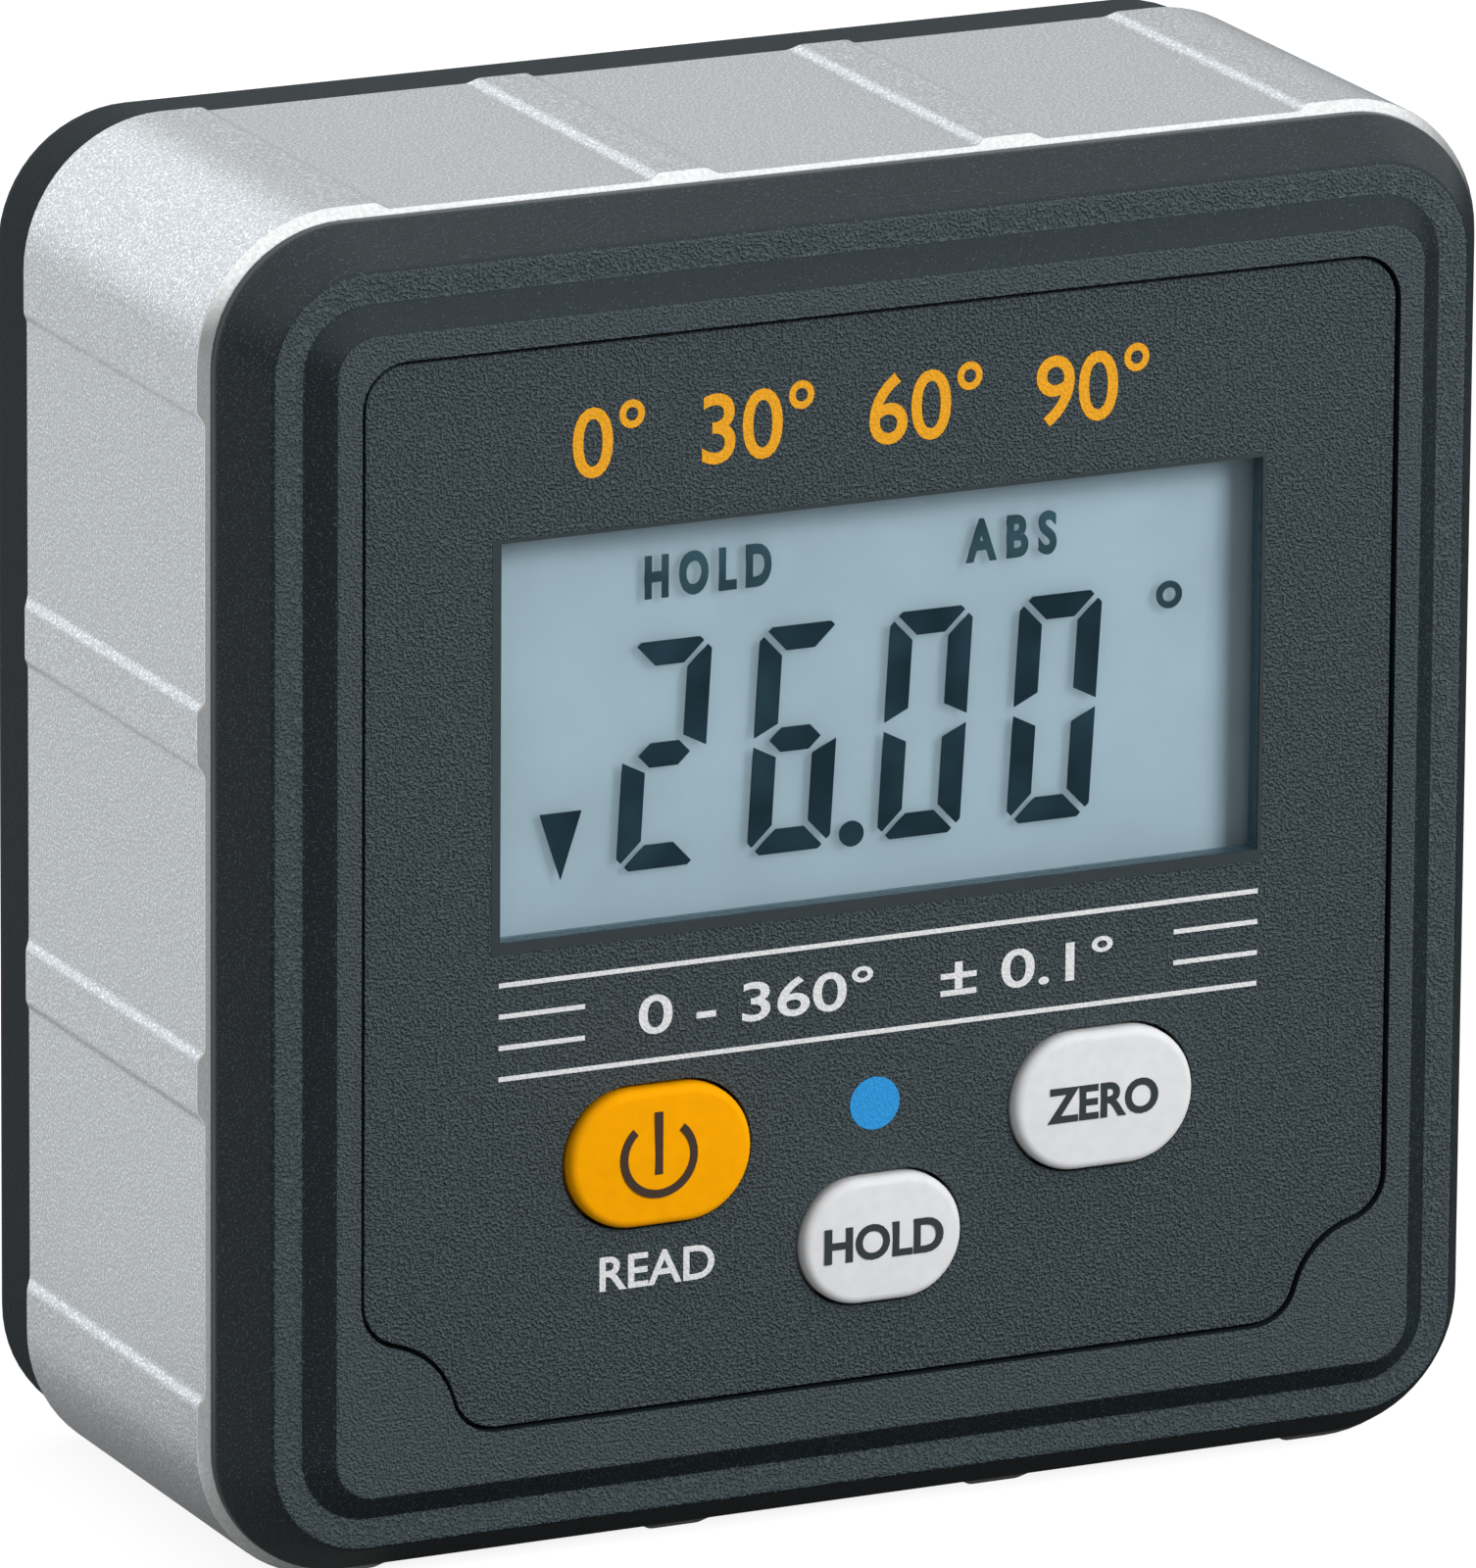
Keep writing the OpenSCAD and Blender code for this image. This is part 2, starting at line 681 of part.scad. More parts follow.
module lower_cell() {
    color("#4d7a94") placed() translate([-spring_l / 2, y_axis, -cell_z]) rotate([0, 180, 0]) cell();
}

// A conical wire spring along X, swept round its helix
module coil_spring(l, foot_d, tip_d, wire, turns = 3, steps = 14, sides = 6) {
    n = turns * steps;
    rings = [for (i = [0 : n])
        let (t = i / n, a = 360 * turns * t, r = (foot_d + (tip_d - foot_d) * t - wire) / 2)
        [for (j = [0 : sides - 1]) let (b = 360 * j / sides, q = r + wire / 2 * cos(b))
            [wire / 2 + (l - wire) * t + wire / 2 * sin(b), q * cos(a), q * sin(a)]]];
    walls = [for (i = [0 : n - 1], j = [0 : sides - 1])
        let (k = (j + 1) % sides, p = i * sides, q = p + sides) each
            [[p + j, p + k, q + k], [p + j, q + k, q + j]]];
    ends = [[for (j = [0 : sides - 1]) sides - 1 - j], [for (j = [0 : sides - 1]) n * sides + j]];
    polyhedron([for (ring = rings) each ring], concat(walls, ends));
}

module contact_springs() {
    foot = bay_x - contact_t;
    color("#c9b46a") placed() {
        translate([-foot, y_axis, cell_z]) coil_spring(spring_l, spring_d, spring_d / 2, wire_d);
        rotate([0, 180, 0]) translate([-foot, y_axis, cell_z])
            coil_spring(spring_l, spring_d, spring_d / 2, wire_d);
    }
}

module contact_plates() {
    bridge = 2 * cell_z + contact_w;
    color("#c9b46a") placed() translate([0, y_axis, 0]) {
        for (z = [-1, 1]) translate([-bay_x + contact_t / 2, 0, z * cell_z])
            cube([contact_t, contact_w, contact_w], center = true);
        translate([bay_x - contact_t / 2, 0, 0]) cube([contact_t, contact_w, bridge], center = true);
    }
}

frame();
front_bezel();
front_panel();
display_lens();
lcd_front_glass();
lcd_rear_glass();
lcd_reflector();
light_guide();
contact_strip();
main_board();
microcontroller();
tilt_sensor();
radio_module();
power_key();
hold_key();
zero_key();
power_plunger();
hold_plunger();
zero_plunger();
power_switch();
hold_switch();
zero_switch();
board_screws();
rear_cover();
battery_door();
upper_cell();
lower_cell();
contact_springs();
contact_plates();
cover_screws();
base_magnets();
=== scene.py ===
"""Looks of a digital angle gauge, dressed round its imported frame.

Sizes are millimetres unless a name says otherwise. X and Z on the front are measured from the
middle of the face, and Y runs from the display to the back, as in the frame.
"""
import logging
import math
from abc import ABC, abstractmethod
from dataclasses import dataclass
from enum import Enum
from typing import Callable, Sequence

import bpy
from mathutils import Matrix, Vector


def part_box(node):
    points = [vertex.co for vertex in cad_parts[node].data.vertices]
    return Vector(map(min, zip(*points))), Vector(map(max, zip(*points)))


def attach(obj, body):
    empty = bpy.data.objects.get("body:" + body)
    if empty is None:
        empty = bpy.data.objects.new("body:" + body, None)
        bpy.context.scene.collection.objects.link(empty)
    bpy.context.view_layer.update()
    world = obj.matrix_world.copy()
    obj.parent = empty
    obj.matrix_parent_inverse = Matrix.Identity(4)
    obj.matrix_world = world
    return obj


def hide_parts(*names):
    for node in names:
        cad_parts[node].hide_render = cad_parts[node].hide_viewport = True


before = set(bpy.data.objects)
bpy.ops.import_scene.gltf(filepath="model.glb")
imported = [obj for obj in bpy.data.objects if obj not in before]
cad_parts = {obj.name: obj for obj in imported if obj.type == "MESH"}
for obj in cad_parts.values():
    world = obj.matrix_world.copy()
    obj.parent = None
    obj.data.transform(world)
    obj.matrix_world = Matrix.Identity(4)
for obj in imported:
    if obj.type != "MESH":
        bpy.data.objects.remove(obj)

LOG = logging.getLogger("angle_gauge")
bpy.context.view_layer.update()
MM = 0.001
BEVEL_STEPS = 2
# Points of a mesh that lie closer than this are merged
MERGE_GAP = 0.0005
# Faces that meet at less than this many degrees are joined
FLAT_ANGLE = 0.4
# Half the thickness of a plate before it is stood up
HALF_PLATE = 0.5

Range = tuple[float, float]
Stretch = tuple[float, float, float]
Point = tuple[float, float]
Outline = list[Point]
Thing = bpy.types.Object
Material = bpy.types.Material
Socket = bpy.types.NodeSocket
FaceRule = Callable[[Vector], int]


class Body(Enum):
    """The bodies that pieces ride on."""

    HOUSING = "housing"
    POWER = "power_key"
    HOLD = "hold_key"
    ZERO = "zero_key"
    DOOR = "battery_door"


class Slot(Enum):
    """The record's material slots, passed along with each new piece."""

    FRAME = "aluminium_frame"
    SLATE = "slate_plastic"
    PANEL = "panel_plastic"
    LENS = "clear_lens"
    GLASS = "display_glass"
    AMBER = "amber_key"
    IVORY = "ivory_key"
    SCREW = "screw_steel"
    CELL = "cell_jacket"
    CONTACT = "contact_metal"
    MAGNET = "magnet"


@dataclass(frozen=True)
class Bumps:
    """Bumps on a surface.

    They have a size and a depth, a painted shade that darkens the colour in the pits, a painted
    highlight that lightens it on the tops, and a range of the clouds over which they rise.
    """

    size: float
    depth: float
    # pit darkens the colour in the hollows as painted shade, top lightens it on the tops as painted
    # highlight
    pit: float
    top: float
    rise: Range


class Grain(Enum):
    """Grain that a mould leaves, with painted shade in its pits and painted highlights on its tops.
    """

    POLISHED = Bumps(0.60, 0.001, 0.97, 1.03, (0.30, 0.70))
    SATIN = Bumps(0.10, 0.040, 0.92, 2.20, (0.52, 0.80))
    # The bright specks of SPECKLED are painted highlights: its tops lighten the colour five and a
    # half times
    SPECKLED = Bumps(0.095, 0.030, 0.90, 5.50, (0.57, 0.69))
    PEBBLED = Bumps(0.125, 0.110, 0.72, 1.38, (0.34, 0.70))
    LEATHER = Bumps(0.130, 0.165, 0.62, 1.55, (0.34, 0.70))


@dataclass(frozen=True)
class Span:
    """How far a node of the frame reaches at rest."""

    low: Vector
    high: Vector

    @classmethod
    def of(cls, node: str) -> "Span":
        """Measures a node.

        Args:
            node: Name of the node.

        Returns:
            Its lowest and highest corner in millimetres.
        """
        low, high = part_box(node)
        return cls(low / MM, high / MM)


FACE_Z = (Span.of("frame").low.z + Span.of("frame").high.z) / 2


def linear(code: str, shade: float = 1.0) -> tuple[float, float, float, float]:
    """Turns a colour as it is written into the values that shaders take.

    Args:
        code: Colour as #rrggbb.
        shade: Factor on its brightness.

    Returns:
        Linear red, green, blue and an alpha of one.
    """
    parts = [int(code[i : i + 2], 16) / 255 for i in (1, 3, 5)]
    flat = [c / 12.92 if c <= 0.04045 else ((c + 0.055) / 1.055) ** 2.4 for c in parts]
    return (*(min(c * shade, 1.0) for c in flat), 1.0)


class Wiring:
    """A tree of shader nodes and short calls that add to it."""

    def __init__(self, tree: bpy.types.NodeTree) -> None:
        """Keeps the tree.

        Args:
            tree: Node tree of a material or a world.
        """
        self.tree = tree

    def add(self, kind: str, **settings: object) -> bpy.types.Node:
        """Adds a node.

        Args:
            kind: Blender's name for the node.
            **settings: Properties to set on it.

        Returns:
            The node.
        """
        node = self.tree.nodes.new(kind)
        for key, value in settings.items():
            setattr(node, key, value)
        return node

    def feed(self, socket: Socket, value: Socket | float | tuple) -> None:
        """Links a socket, or sets it where the value is a constant.

        Args:
            socket: Input to fill.
            value: Output of another node, a number or a colour.
        """
        if isinstance(value, bpy.types.NodeSocket):
            self.tree.links.new(value, socket)
        else:
            socket.default_value = value

    def span(
        self, value: Socket, low: float, high: float, to_low: float = 0.0, to_high: float = 1.0
    ) -> Socket:
        """Maps one range of values to another.

        Args:
            value: Values to map.
            low: Where the first range starts.
            high: Where it ends.
            to_low: Where the second range starts.
            to_high: Where it ends.

        Returns:
            The mapped values, kept within the second range.
        """
        node = self.add("ShaderNodeMapRange")
        ends = {"From Min": low, "From Max": high, "To Min": to_low, "To Max": to_high}
        for key, number in ends.items():
            node.inputs[key].default_value = number
        self.feed(node.inputs["Value"], value)
        return node.outputs["Result"]

    def sum(self, first: Socket, second: Socket, share: float) -> Socket:
        """Adds a share of one pattern to another.

        Args:
            first: Main pattern.
            second: Pattern that is added.
            share: Factor on the second pattern.

        Returns:
            The sum.
        """
        node = self.add("ShaderNodeMath", operation="MULTIPLY_ADD")
        self.feed(node.inputs[0], second)
        node.inputs[1].default_value = share
        self.feed(node.inputs[2], first)
        return node.outputs["Value"]

    def reckon(self, operation: str, first: Socket | float, second: Socket | float) -> Socket:
        """Works out a value from two others.

        Args:
            operation: Blender's name for the operation.
            first: First value.
            second: Second value.

        Returns:
            The result.
        """
        node = self.add("ShaderNodeMath", operation=operation)
        self.feed(node.inputs[0], first)
        self.feed(node.inputs[1], second)
        return node.outputs["Value"]

    def switch(self, test: Socket, no: Socket | float, yes: Socket | float) -> Socket:
        """Picks one of two values.

        Args:
            test: One for yes, zero for no.
            no: Value at zero.
            yes: Value at one.

        Returns:
            The picked value.
        """
        node = self.add("ShaderNodeMix", data_type="FLOAT")
        self.feed(node.inputs["Factor"], test)
        self.feed(node.inputs["A"], no)
        self.feed(node.inputs["B"], yes)
        return node.outputs["Result"]

    def parts(self, vector: Socket) -> Sequence[Socket]:
        """Splits a vector.

        Args:
            vector: The vector.

        Returns:
            Its X, Y and Z.
        """
        node = self.add("ShaderNodeSeparateXYZ")
        self.feed(node.inputs["Vector"], vector)
        return list(node.outputs)


class Graph(Wiring):
    """The node tree of one material, on the piece's own coordinates."""

    def __init__(self, name: str) -> None:
        """Starts a material with one shader.

        Args:
            name: Name of the material.
        """
        self.material = bpy.data.materials.new(name)
        self.material.use_nodes = True
        super().__init__(self.material.node_tree)
        self.shader = self.tree.nodes["Principled BSDF"]
        self.place = self.add("ShaderNodeTexCoord").outputs["Object"]

    def set(self, **values: Socket | float | tuple) -> None:
        """Fills the shader's inputs.

        Args:
            **values: Inputs by name, with an underscore for each space.
        """
        for key, value in values.items():
            self.feed(self.shader.inputs[key.replace("_", " ")], value)

    def stretched(self, factors: Stretch) -> Socket:
        """Stretches the piece's coordinates for a pattern that runs one way.

        Args:
            factors: Factor on X, Y and Z.

        Returns:
            The stretched coordinates.
        """
        mapping = self.add("ShaderNodeMapping")
        self.feed(mapping.inputs["Vector"], self.place)
        mapping.inputs["Scale"].default_value = factors
        return mapping.outputs["Vector"]

    def noise(self, size: float, layers: float = 1.0, at: Socket | None = None) -> Socket:
        """Adds clouds of a given size.

        Args:
            size: Size of a cloud.
            layers: How many finer layers it has.
            at: Coordinates, the piece's own where none are given.

        Returns:
            Values round one half.
        """
        node = self.add("ShaderNodeTexNoise")
        self.feed(node.inputs["Vector"], at or self.place)
        node.inputs["Scale"].default_value = 1 / (size * MM)
        node.inputs["Detail"].default_value = layers
        return node.outputs["Fac"]

    def relief(self, bumps: Bumps) -> Socket:
        """Adds bumps.

        Args:
            bumps: Their form.

        Returns:
            Heights from zero to one.
        """
        return self.span(self.noise(bumps.size), *bumps.rise)

    def between(self, factor: Socket, dark: tuple, light: tuple) -> Socket:
        """Blends two colours by a pattern.

        Args:
            factor: Pattern from zero to one.
            dark: Colour at zero.
            light: Colour at one.

        Returns:
            The blended colour.
        """
        node = self.add("ShaderNodeMix", data_type="RGBA")
        self.feed(node.inputs["Factor"], factor)
        colours = [s for s in node.inputs if s.type == "RGBA"]
        colours[0].default_value = dark
        colours[1].default_value = light
        return next(s for s in node.outputs if s.type == "RGBA")

    def shaded(self, factor: Socket, code: str, shades: Range) -> Socket:
        """Shades one colour by a pattern.

        Args:
            factor: Pattern from zero to one.
            code: Colour as #rrggbb.
            shades: Factors on its brightness at zero and at one.

        Returns:
            The shaded colour.
        """
        return self.between(factor, *(linear(code, shade) for shade in shades))

    def bump(self, height: Socket, depth: float, strength: float = 1.0) -> None:
        """Raises the surface by a pattern.

        Args:
            height: Pattern from zero to one.
            depth: Height of the pattern.
            strength: Share of the bump that shows.
        """
        node = self.add("ShaderNodeBump")
        node.inputs["Strength"].default_value = strength
        node.inputs["Distance"].default_value = depth * MM
        self.feed(node.inputs["Height"], height)
        self.set(Normal=node.outputs["Normal"])


@dataclass(frozen=True)
class Finish(ABC):
    """A finish, which makes the material that it names."""

    name: str

    @abstractmethod
    def wire(self, graph: Graph) -> None:
        """Wires the finish.

        Args:
            graph: Node tree of the new material.
        """

    def material(self) -> Material:
        """Makes the finish.

        Returns:
            The material.
        """
        graph = Graph(self.name)
        self.wire(graph)
        return graph.material


@dataclass(frozen=True)
class MouldedPlastic(Finish):
    """Plastic with the grain of its mould."""

    colour: str
    grain: Grain
    roughness: float = 0.5
    gloss: float = 0.35
    sheen: str = "#eefcff"

    def wire(self, graph: Graph) -> None:
        """Wires the grain, the colour with painted shade in the pits and painted highlights on the
        tops, and the gloss.
        """
        bumps = self.grain.value
        height = graph.relief(bumps)
        graph.set(
            # The colour is darker in the pits as painted shade and lighter on the tops as painted
            # highlight
            Base_Color=graph.shaded(height, self.colour, (bumps.pit, bumps.top)),
            Roughness=self.roughness,
            Specular_IOR_Level=self.gloss,
            Specular_Tint=linear(self.sheen),
        )
        graph.bump(height, bumps.depth)


@dataclass(frozen=True)
class BlastedAluminium(Finish):
    """Bead-blasted and anodised aluminium, with painted shade in the pits and painted glints on the
    highest beads.
    """

    name: str = "blasted_aluminium"
    colour: str = "#c1c6ca"
    roughness: float = 0.32
    bead: float = 0.11
    depth: float = 0.030
    strength: float = 0.6
    tone_rise: Range = (0.32, 0.68)
    tone: Range = (0.05, 0.58)
    painted_glint_rise: Range = (0.58, 0.69)
    painted_glint_share: float = 0.6
    shades: Range = (0.68, 1.48)

    def wire(self, graph: Graph) -> None:
        """Wires the beads, the colour darkened in the pits and lightened on the beads as painted
        shade and painted highlights, and the painted glints.
        """
        beads = graph.noise(self.bead)
        painted_glint = graph.span(beads, *self.painted_glint_rise)
        # Painted shade in the pits and painted highlights on the beads, with painted glints on the
        # highest ones
        tone = graph.sum(graph.span(beads, *self.tone_rise, *self.tone), painted_glint, self.painted_glint_share)
        graph.set(
            Base_Color=graph.shaded(tone, self.colour, self.shades),
            Metallic=1.0,
            Roughness=self.roughness,
        )
        graph.bump(beads, self.depth, self.strength)


@dataclass(frozen=True)
class BareMetal(Finish):
    """Machined, rolled or plated metal with the marks of the tool."""

    colour: str
    roughness: float
    marks: Stretch = (1.0, 1.0, 1.0)
    size: float = 0.2
    layers: float = 2.0
    rise: Range = (0.3, 0.7)
    shades: Range = (0.88, 1.1)
    swing: float = 0.05
    depth: float = 0.004
    strength: float = 0.6

    def wire(self, graph: Graph) -> None:
        """Wires the marks, which change the tone and the roughness."""
        lines = graph.noise(self.size, self.layers, graph.stretched(self.marks))
        rough = (self.roughness + self.swing, self.roughness - self.swing)
        graph.set(
            Base_Color=graph.shaded(graph.span(lines, *self.rise), self.colour, self.shades),
            Metallic=1.0,
            Roughness=graph.span(lines, *self.rise, *rough),
        )
        graph.bump(lines, self.depth, self.strength)


@dataclass(frozen=True)
class PrintedInk(Finish):
    """Ink printed over the panel's grain."""

    colour: str
    grain: Grain = Grain.LEATHER
    shades: Range = (0.86, 1.06)
    roughness: float = 0.6
    gloss: float = 0.15
    strength: float = 0.2

    def wire(self, graph: Graph) -> None:
        """Wires the colour over the grain, darker in its pits and lighter on its tops as painted
        shade and painted highlights.
        """
        bumps = self.grain.value
        height = graph.relief(bumps)
        graph.set(
            # The ink is darker in the grain's pits as painted shade and lighter on its tops as
            # painted highlight
            Base_Color=graph.shaded(height, self.colour, self.shades),
            Roughness=self.roughness,
            Specular_IOR_Level=self.gloss,
        )
        graph.bump(height, bumps.depth, self.strength)


@dataclass(frozen=True)
class DisplayInk(Finish):
    """Liquid crystal that is switched on."""

    colour: str = "#1a2e37"
    alpha: float = 0.97
    cloud: float = 2.6
    rise: Range = (0.35, 0.7)
    shades: Range = (0.85, 1.5)
    roughness: float = 0.6
    gloss: float = 0.1

    def wire(self, graph: Graph) -> None:
        """Wires the clouded colour."""
        haze = graph.span(graph.noise(self.cloud), *self.rise)
        graph.set(
            Base_Color=graph.shaded(haze, self.colour, self.shades),
            Roughness=self.roughness,
            Specular_IOR_Level=self.gloss,
            Alpha=self.alpha,
        )


@dataclass(frozen=True)
class ReflectorFilm(Finish):
    """Brushed film behind the display glass."""

    name: str = "reflector_film"
    colour: str = "#9cb4c0"
    cloud: float = 5.0
    layers: float = 2.0
    fibre: float = 0.08
    fibre_run: Stretch = (1.0, 1.0, 0.25)
    fibre_share: float = 0.35
    rise: Range = (0.45, 0.9)
    shades: Range = (0.94, 1.05)
    roughness: float = 0.6
    gloss: float = 0.2
    depth: float = 0.002
    strength: float = 0.4

    def wire(self, graph: Graph) -> None:
        """Wires the clouds and the fibres."""
        cloud = graph.noise(self.cloud, self.layers)
        fibre = graph.noise(self.fibre, at=graph.stretched(self.fibre_run))
        tone = graph.span(graph.sum(cloud, fibre, self.fibre_share), *self.rise)
        graph.set(
            Base_Color=graph.shaded(tone, self.colour, self.shades),
            Roughness=self.roughness,
            Specular_IOR_Level=self.gloss,
        )
        graph.bump(fibre, self.depth, self.strength)


@dataclass(frozen=True)
class ClearSheet(Finish):
    """Clear plastic or glass, thin enough that light passes straight through it."""

    colour: str
    alpha: float
    cloud: float = 4.0
    rise: Range = (0.3, 0.7)
    roughness: Range = (0.06, 0.12)

    def wire(self, graph: Graph) -> None:
        """Wires the tint and the faint film on the surface."""
        graph.set(
            Base_Color=linear(self.colour),
            Roughness=graph.span(graph.noise(self.cloud), *self.rise, *self.roughness),
            Alpha=self.alpha,
        )


@dataclass(frozen=True)
class CircuitBoard(Finish):
    """Solder mask over copper tracks."""

    name: str = "solder_mask"
    colour: str = "#1c6a3d"
    pitch: float = 3.6
    gap: float = 0.035
    shades: Range = (1.0, 1.7)
    roughness: float = 0.35
    depth: float = 0.03
    strength: float = 0.6

    def wire(self, graph: Graph) -> None:
        """Wires the tracks, which lie in the plane of the board."""
        turned = graph.add("ShaderNodeMapping")
        graph.feed(turned.inputs["Vector"], graph.place)
        turned.inputs["Rotation"].default_value = (math.pi / 2, 0, 0)
        bricks = graph.add("ShaderNodeTexBrick")
        graph.feed(bricks.inputs["Vector"], turned.outputs["Vector"])
        bricks.inputs["Scale"].default_value = 1 / (self.pitch * MM)
        bricks.inputs["Mortar Size"].default_value = self.gap
        tracks = bricks.outputs["Fac"]
        graph.set(
            Base_Color=graph.shaded(tracks, self.colour, self.shades),
            Roughness=self.roughness,
        )
        graph.bump(tracks, self.depth, self.strength)


def select_only(thing: Thing) -> None:
    """Makes one object the only one selected, and the active one.

    Args:
        thing: The object.
    """
    bpy.ops.object.select_all(action="DESELECT")
    thing.select_set(True)
    bpy.context.view_layer.objects.active = thing


def new_object(name: str, data: bpy.types.ID) -> Thing:
    """Adds an object to the scene and selects it.

    Args:
        name: Name of the object.
        data: Its mesh, curve or text.

    Returns:
        The object.
    """
    thing = bpy.data.objects.new(name, data)
    bpy.context.scene.collection.objects.link(thing)
    select_only(thing)
    return thing


def tidy_mesh(thing: Thing, flat: bool) -> None:
    """Merges the points of a mesh that lie together.

    Args:
        thing: Object with the mesh, in metres.
        flat: Whether it is a flat plate, whose faces are turned outwards, or a copied node, whose
            flat triangles are joined.
    """
    select_only(thing)
    bpy.ops.object.mode_set(mode="EDIT")
    bpy.ops.mesh.select_all(action="SELECT")
    bpy.ops.mesh.remove_doubles(threshold=MERGE_GAP * MM)
    if flat:
        bpy.ops.mesh.normals_make_consistent(inside=False)
    else:
        bpy.ops.mesh.dissolve_limited(angle_limit=math.radians(FLAT_ANGLE))
    bpy.ops.object.mode_set(mode="OBJECT")


def copied_node(node: str, name: str) -> Thing:
    """Copies a node of the frame to a piece with a clean mesh.

    Args:
        node: Name of the node.
        name: Name of the piece.

    Returns:
        The piece, where the node is.
    """
    thing = new_object(name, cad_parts[node].data.copy())
    thing.data.name = name
    bpy.ops.mesh.customdata_custom_splitnormals_clear()
    thing.data.materials.clear()
    tidy_mesh(thing, flat=False)
    return thing


def soften(thing: Thing, width: float, angle: float = 28.0) -> None:
    """Bevels the sharp edges of a piece.

    Args:
        thing: The piece.
        width: Width of the bevel.
        angle: Edges sharper than this many degrees are bevelled.
    """
    select_only(thing)
    bevel = thing.modifiers.new("soft_edges", "BEVEL")
    bevel.width = width * MM
    bevel.segments = BEVEL_STEPS
    bevel.limit_method = "ANGLE"
    bevel.angle_limit = math.radians(angle)
    bevel.use_clamp_overlap = True
    bpy.ops.object.modifier_apply(modifier=bevel.name)


def smooth(thing: Thing, angle: float = 35.0) -> None:
    """Shades the round faces of a piece smooth, with its flat faces flat.

    Args:
        thing: The piece.
        angle: Edges sharper than this many degrees stay sharp.
    """
    select_only(thing)
    bpy.ops.object.shade_smooth_by_angle(angle=math.radians(angle))
    weighted = thing.modifiers.new("even_shading", "WEIGHTED_NORMAL")
    weighted.keep_sharp = True
    bpy.ops.object.modifier_apply(modifier=weighted.name)


def dress(thing: Thing, finishes: Sequence[Material], rule: FaceRule | None = None) -> None:
    """Gives a piece its finishes, face by face.

    Args:
        thing: The piece.
        finishes: The finishes.
        rule: Picks a finish from a face's normal, the first one where no rule is given.
    """
    thing.data.materials.clear()
    for finish in finishes:
        thing.data.materials.append(finish)
    for face in thing.data.polygons:
        face.material_index = rule(face.normal) if rule else 0


def hand_over(thing: Thing, body: Body, slot: Slot, *nodes: str) -> None:
    """Lets a finished piece ride on its body.

    Args:
        thing: The piece.
        body: Body that it moves with.
        slot: Slot of its finish, not used.
        *nodes: Nodes that it stands for.
    """
    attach(thing, body.value)
    if nodes:
        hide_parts(*nodes)
    LOG.info("%s rides on %s, %d faces", thing.name, body.value, len(thing.data.polygons))


def stand_up(thing: Thing, front: float, back: float) -> None:
    """Stands a flat mesh, one unit to the millimetre, on the front of the gauge.

    Args:
        thing: Object that lies flat, one unit thick and centred on its thickness.
        front: Depth of its front face.
        back: Depth of its back face.
    """
    select_only(thing)
    place = Matrix.Translation((0, (front + back) / 2 * MM, FACE_Z * MM))
    turn = Matrix.Rotation(math.pi / 2, 4, "X")
    thing.matrix_world = place @ turn @ Matrix.Diagonal((MM, MM, (back - front) * MM, 1))
    bpy.ops.object.transform_apply(location=True, rotation=True, scale=True)
    tidy_mesh(thing, flat=True)


def arc(middle: Point, radius: float, start: float, end: float, steps: int) -> Outline:
    """Works out points along an arc.

    Args:
        middle: Centre of the arc.
        radius: Its radius.
        start: First angle in degrees.
        end: Last angle in degrees.
        steps: Number of steps between them.

    Returns:
        The points.
    """
    angles = [math.radians(start + (end - start) * i / steps) for i in range(steps + 1)]
    return [(middle[0] + radius * math.cos(a), middle[1] + radius * math.sin(a)) for a in angles]


def circle(middle: Point, radius: float, points: int = 24) -> Outline:
    """Works out points round a circle.

    Args:
        middle: Centre of the circle.
        radius: Its radius.
        points: Number of points.

    Returns:
        The points, each once.
    """
    return arc(middle, radius, 0, 360 - 360 / points, points - 1)


def bar(left: float, low: float, right: float, high: float) -> Outline:
    """Gives the corners of an upright rectangle.

    Args:
        left: Its left edge.
        low: Its lower edge.
        right: Its right edge.
        high: Its upper edge.

    Returns:
        The four corners.
    """
    return [(left, low), (right, low), (right, high), (left, high)]


def plate(name: str, outlines: Sequence[Outline], front: float, back: float) -> Thing:
    """Makes a thin plate from closed outlines, where an outline inside another is a hole.

    Args:
        name: Name of the piece.
        outlines: Closed outlines.
        front: Depth of its front face.
        back: Depth of its back face.

    Returns:
        The piece in its place.
    """
    curve = bpy.data.curves.new(name, "CURVE")
    curve.dimensions = "2D"
    curve.fill_mode = "BOTH"
    curve.extrude = HALF_PLATE
    for outline in outlines:
        spline = curve.splines.new("POLY")
        spline.points.add(len(outline) - 1)
        for point, (x, z) in zip(spline.points, outline):
            point.co = (x, z, 0, 1)
        spline.use_cyclic_u = True
    thing = new_object(name, curve)
    bpy.ops.object.convert(target="MESH")
    stand_up(thing, front, back)
    return thing


@dataclass(frozen=True)
class Lettering:
    """A line of plain letters or figures."""

    words: str
    middle: Point
    width: float
    height: float
    weight: float
    curve_steps: int = 5

    def build(self, name: str, front: float, back: float) -> Thing:
        """Models the letters as a thin plate.

        Args:
            name: Name of the piece.
            front: Depth of its front face.
            back: Depth of its back face.

        Returns:
            The piece in its place.
        """
        bpy.ops.object.select_all(action="DESELECT")
        bpy.ops.object.text_add()
        thing = bpy.context.object
        thing.name = name
        thing.data.body = self.words
        thing.data.offset = self.weight
        thing.data.resolution_u = self.curve_steps
        thing.data.extrude = HALF_PLATE
        bpy.ops.object.convert(target="MESH")
        points = [v.co for v in thing.data.vertices]
        low = Vector((min(p.x for p in points), min(p.y for p in points), 0))
        high = Vector((max(p.x for p in points), max(p.y for p in points), 0))
        size = high - low
        centre = Matrix.Translation(-(low + high) / 2)
        fit = Matrix.Diagonal((self.width / size.x, self.height / size.y, 1, 1))
        thing.data.transform(Matrix.Translation((*self.middle, 0)) @ fit @ centre)
        stand_up(thing, front, back)
        return thing


